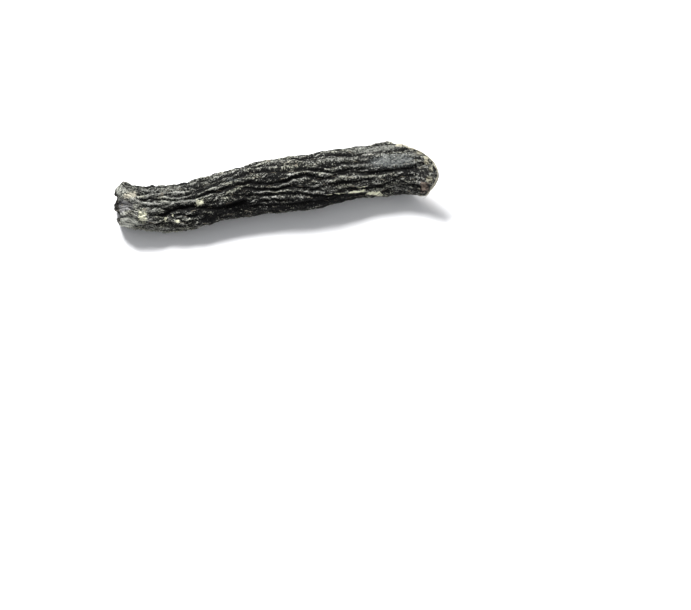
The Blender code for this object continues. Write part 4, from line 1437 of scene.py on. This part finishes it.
# %% Scatter them
scars = scatter("rootlet_scars", scar, {
    "density": 9000.0, "gap": 0.007, "smallest": 0.35, "largest": 0.75, "stray": 0.5, "sunk": 0.00008,
    "where": "open", "from": 0.5, "to": 1.0, "seed": 5, "material": scar_finish,
})
loose_fibres = scatter("loose_fibres", fibre, {
    "density": 40000.0, "gap": 0.0028, "smallest": 0.5, "largest": 1.25, "stray": 0.35, "sunk": 0.00003,
    "where": "open", "from": 0.5, "to": 1.0, "seed": 8, "material": fibre_finish,
})
flakes = scatter("lifted_flakes", flake, {
    "density": 90000.0, "gap": 0.0018, "smallest": 0.4, "largest": 1.1, "stray": 0.6, "sunk": 0.00002,
    "where": "ridge", "from": 0.55, "to": 1.0, "seed": 13, "material": flake_finish,
})
dust = scatter("dust_crumbs", crumb, {
    "density": 110000.0, "gap": 0.0002, "smallest": 0.10, "largest": 0.42, "stray": 3.1, "sunk": 0.00002,
    "where": "dusty", "from": 0.25, "to": 1.0, "seed": 21, "material": dust_finish,
})
for shape in shapes:
    bpy.data.objects.remove(shape)

# %% [markdown]
# ## Floor and light
# The picture is a bright studio one: a white floor, and big soft lights overhead. The key light is above
# and behind the root, so the upper side is bright, each ridge throws its own furrow into shadow, and
# the side towards us falls away into the dark.

# %% Floor, lights and sky
FLOOR_REACH = 3.0
FLOOR_COLOUR = (0.86, 0.86, 0.87, 1)
FLOOR_ROUGHNESS = 0.9
LIGHTS = {  # name: place, size and watts
    "key_light": ((-0.11, 0.26, 0.415), 0.22, 6.8),
    "fill_light": ((0.25, -0.45, 0.50), 0.30, 0.6),
}
SKY_COLOUR = (0.95, 0.97, 1.0, 1)
SKY_STRENGTH = 0.44


def light(name, place, size, watts):
    """A square soft light that faces the root."""
    data = bpy.data.lights.new(name, "AREA")
    data.size = size
    data.energy = watts
    lamp = bpy.data.objects.new(name, data)
    bpy.context.scene.collection.objects.link(lamp)
    lamp.location = place
    lamp.rotation_euler = (root_middle - Vector(place)).to_track_quat("-Z", "Y").to_euler()
    return lamp


corners = [(x * FLOOR_REACH, y * FLOOR_REACH, 0) for x, y in ((-1, -1), (1, -1), (1, 1), (-1, 1))]
floor_mesh = bpy.data.meshes.new("floor")
floor_mesh.from_pydata(corners, [], [(0, 1, 2, 3)])
floor = bpy.data.objects.new("floor", floor_mesh)
bpy.context.scene.collection.objects.link(floor)
paper, tree, shader = new_material("pale_floor")
shader.inputs["Base Color"].default_value = FLOOR_COLOUR
shader.inputs["Roughness"].default_value = FLOOR_ROUGHNESS
floor_mesh.materials.append(paper)

lamps = [light(name, *described) for name, described in LIGHTS.items()]
world = bpy.data.worlds.new("sky")
bpy.context.scene.world = world
world.use_nodes = True
sky = world.node_tree.nodes["Background"]
sky.inputs["Color"].default_value = SKY_COLOUR
sky.inputs["Strength"].default_value = SKY_STRENGTH
bpy.context.scene.view_settings.view_transform = "Standard"
print(len(lamps), "soft lights and a pale sky")

# %% [markdown]
# ## Put the pieces on the root
# The fine skin stands for the plain solid. Everything rides on the root's one body.

# %% Hand the pieces over
for piece in (skin, scars, loose_fibres, flakes, dust):
    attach(piece, "root")
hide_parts(NODE)

print("the solid's box", [[round(c / MM, 1) for c in corner] for corner in cad_box])
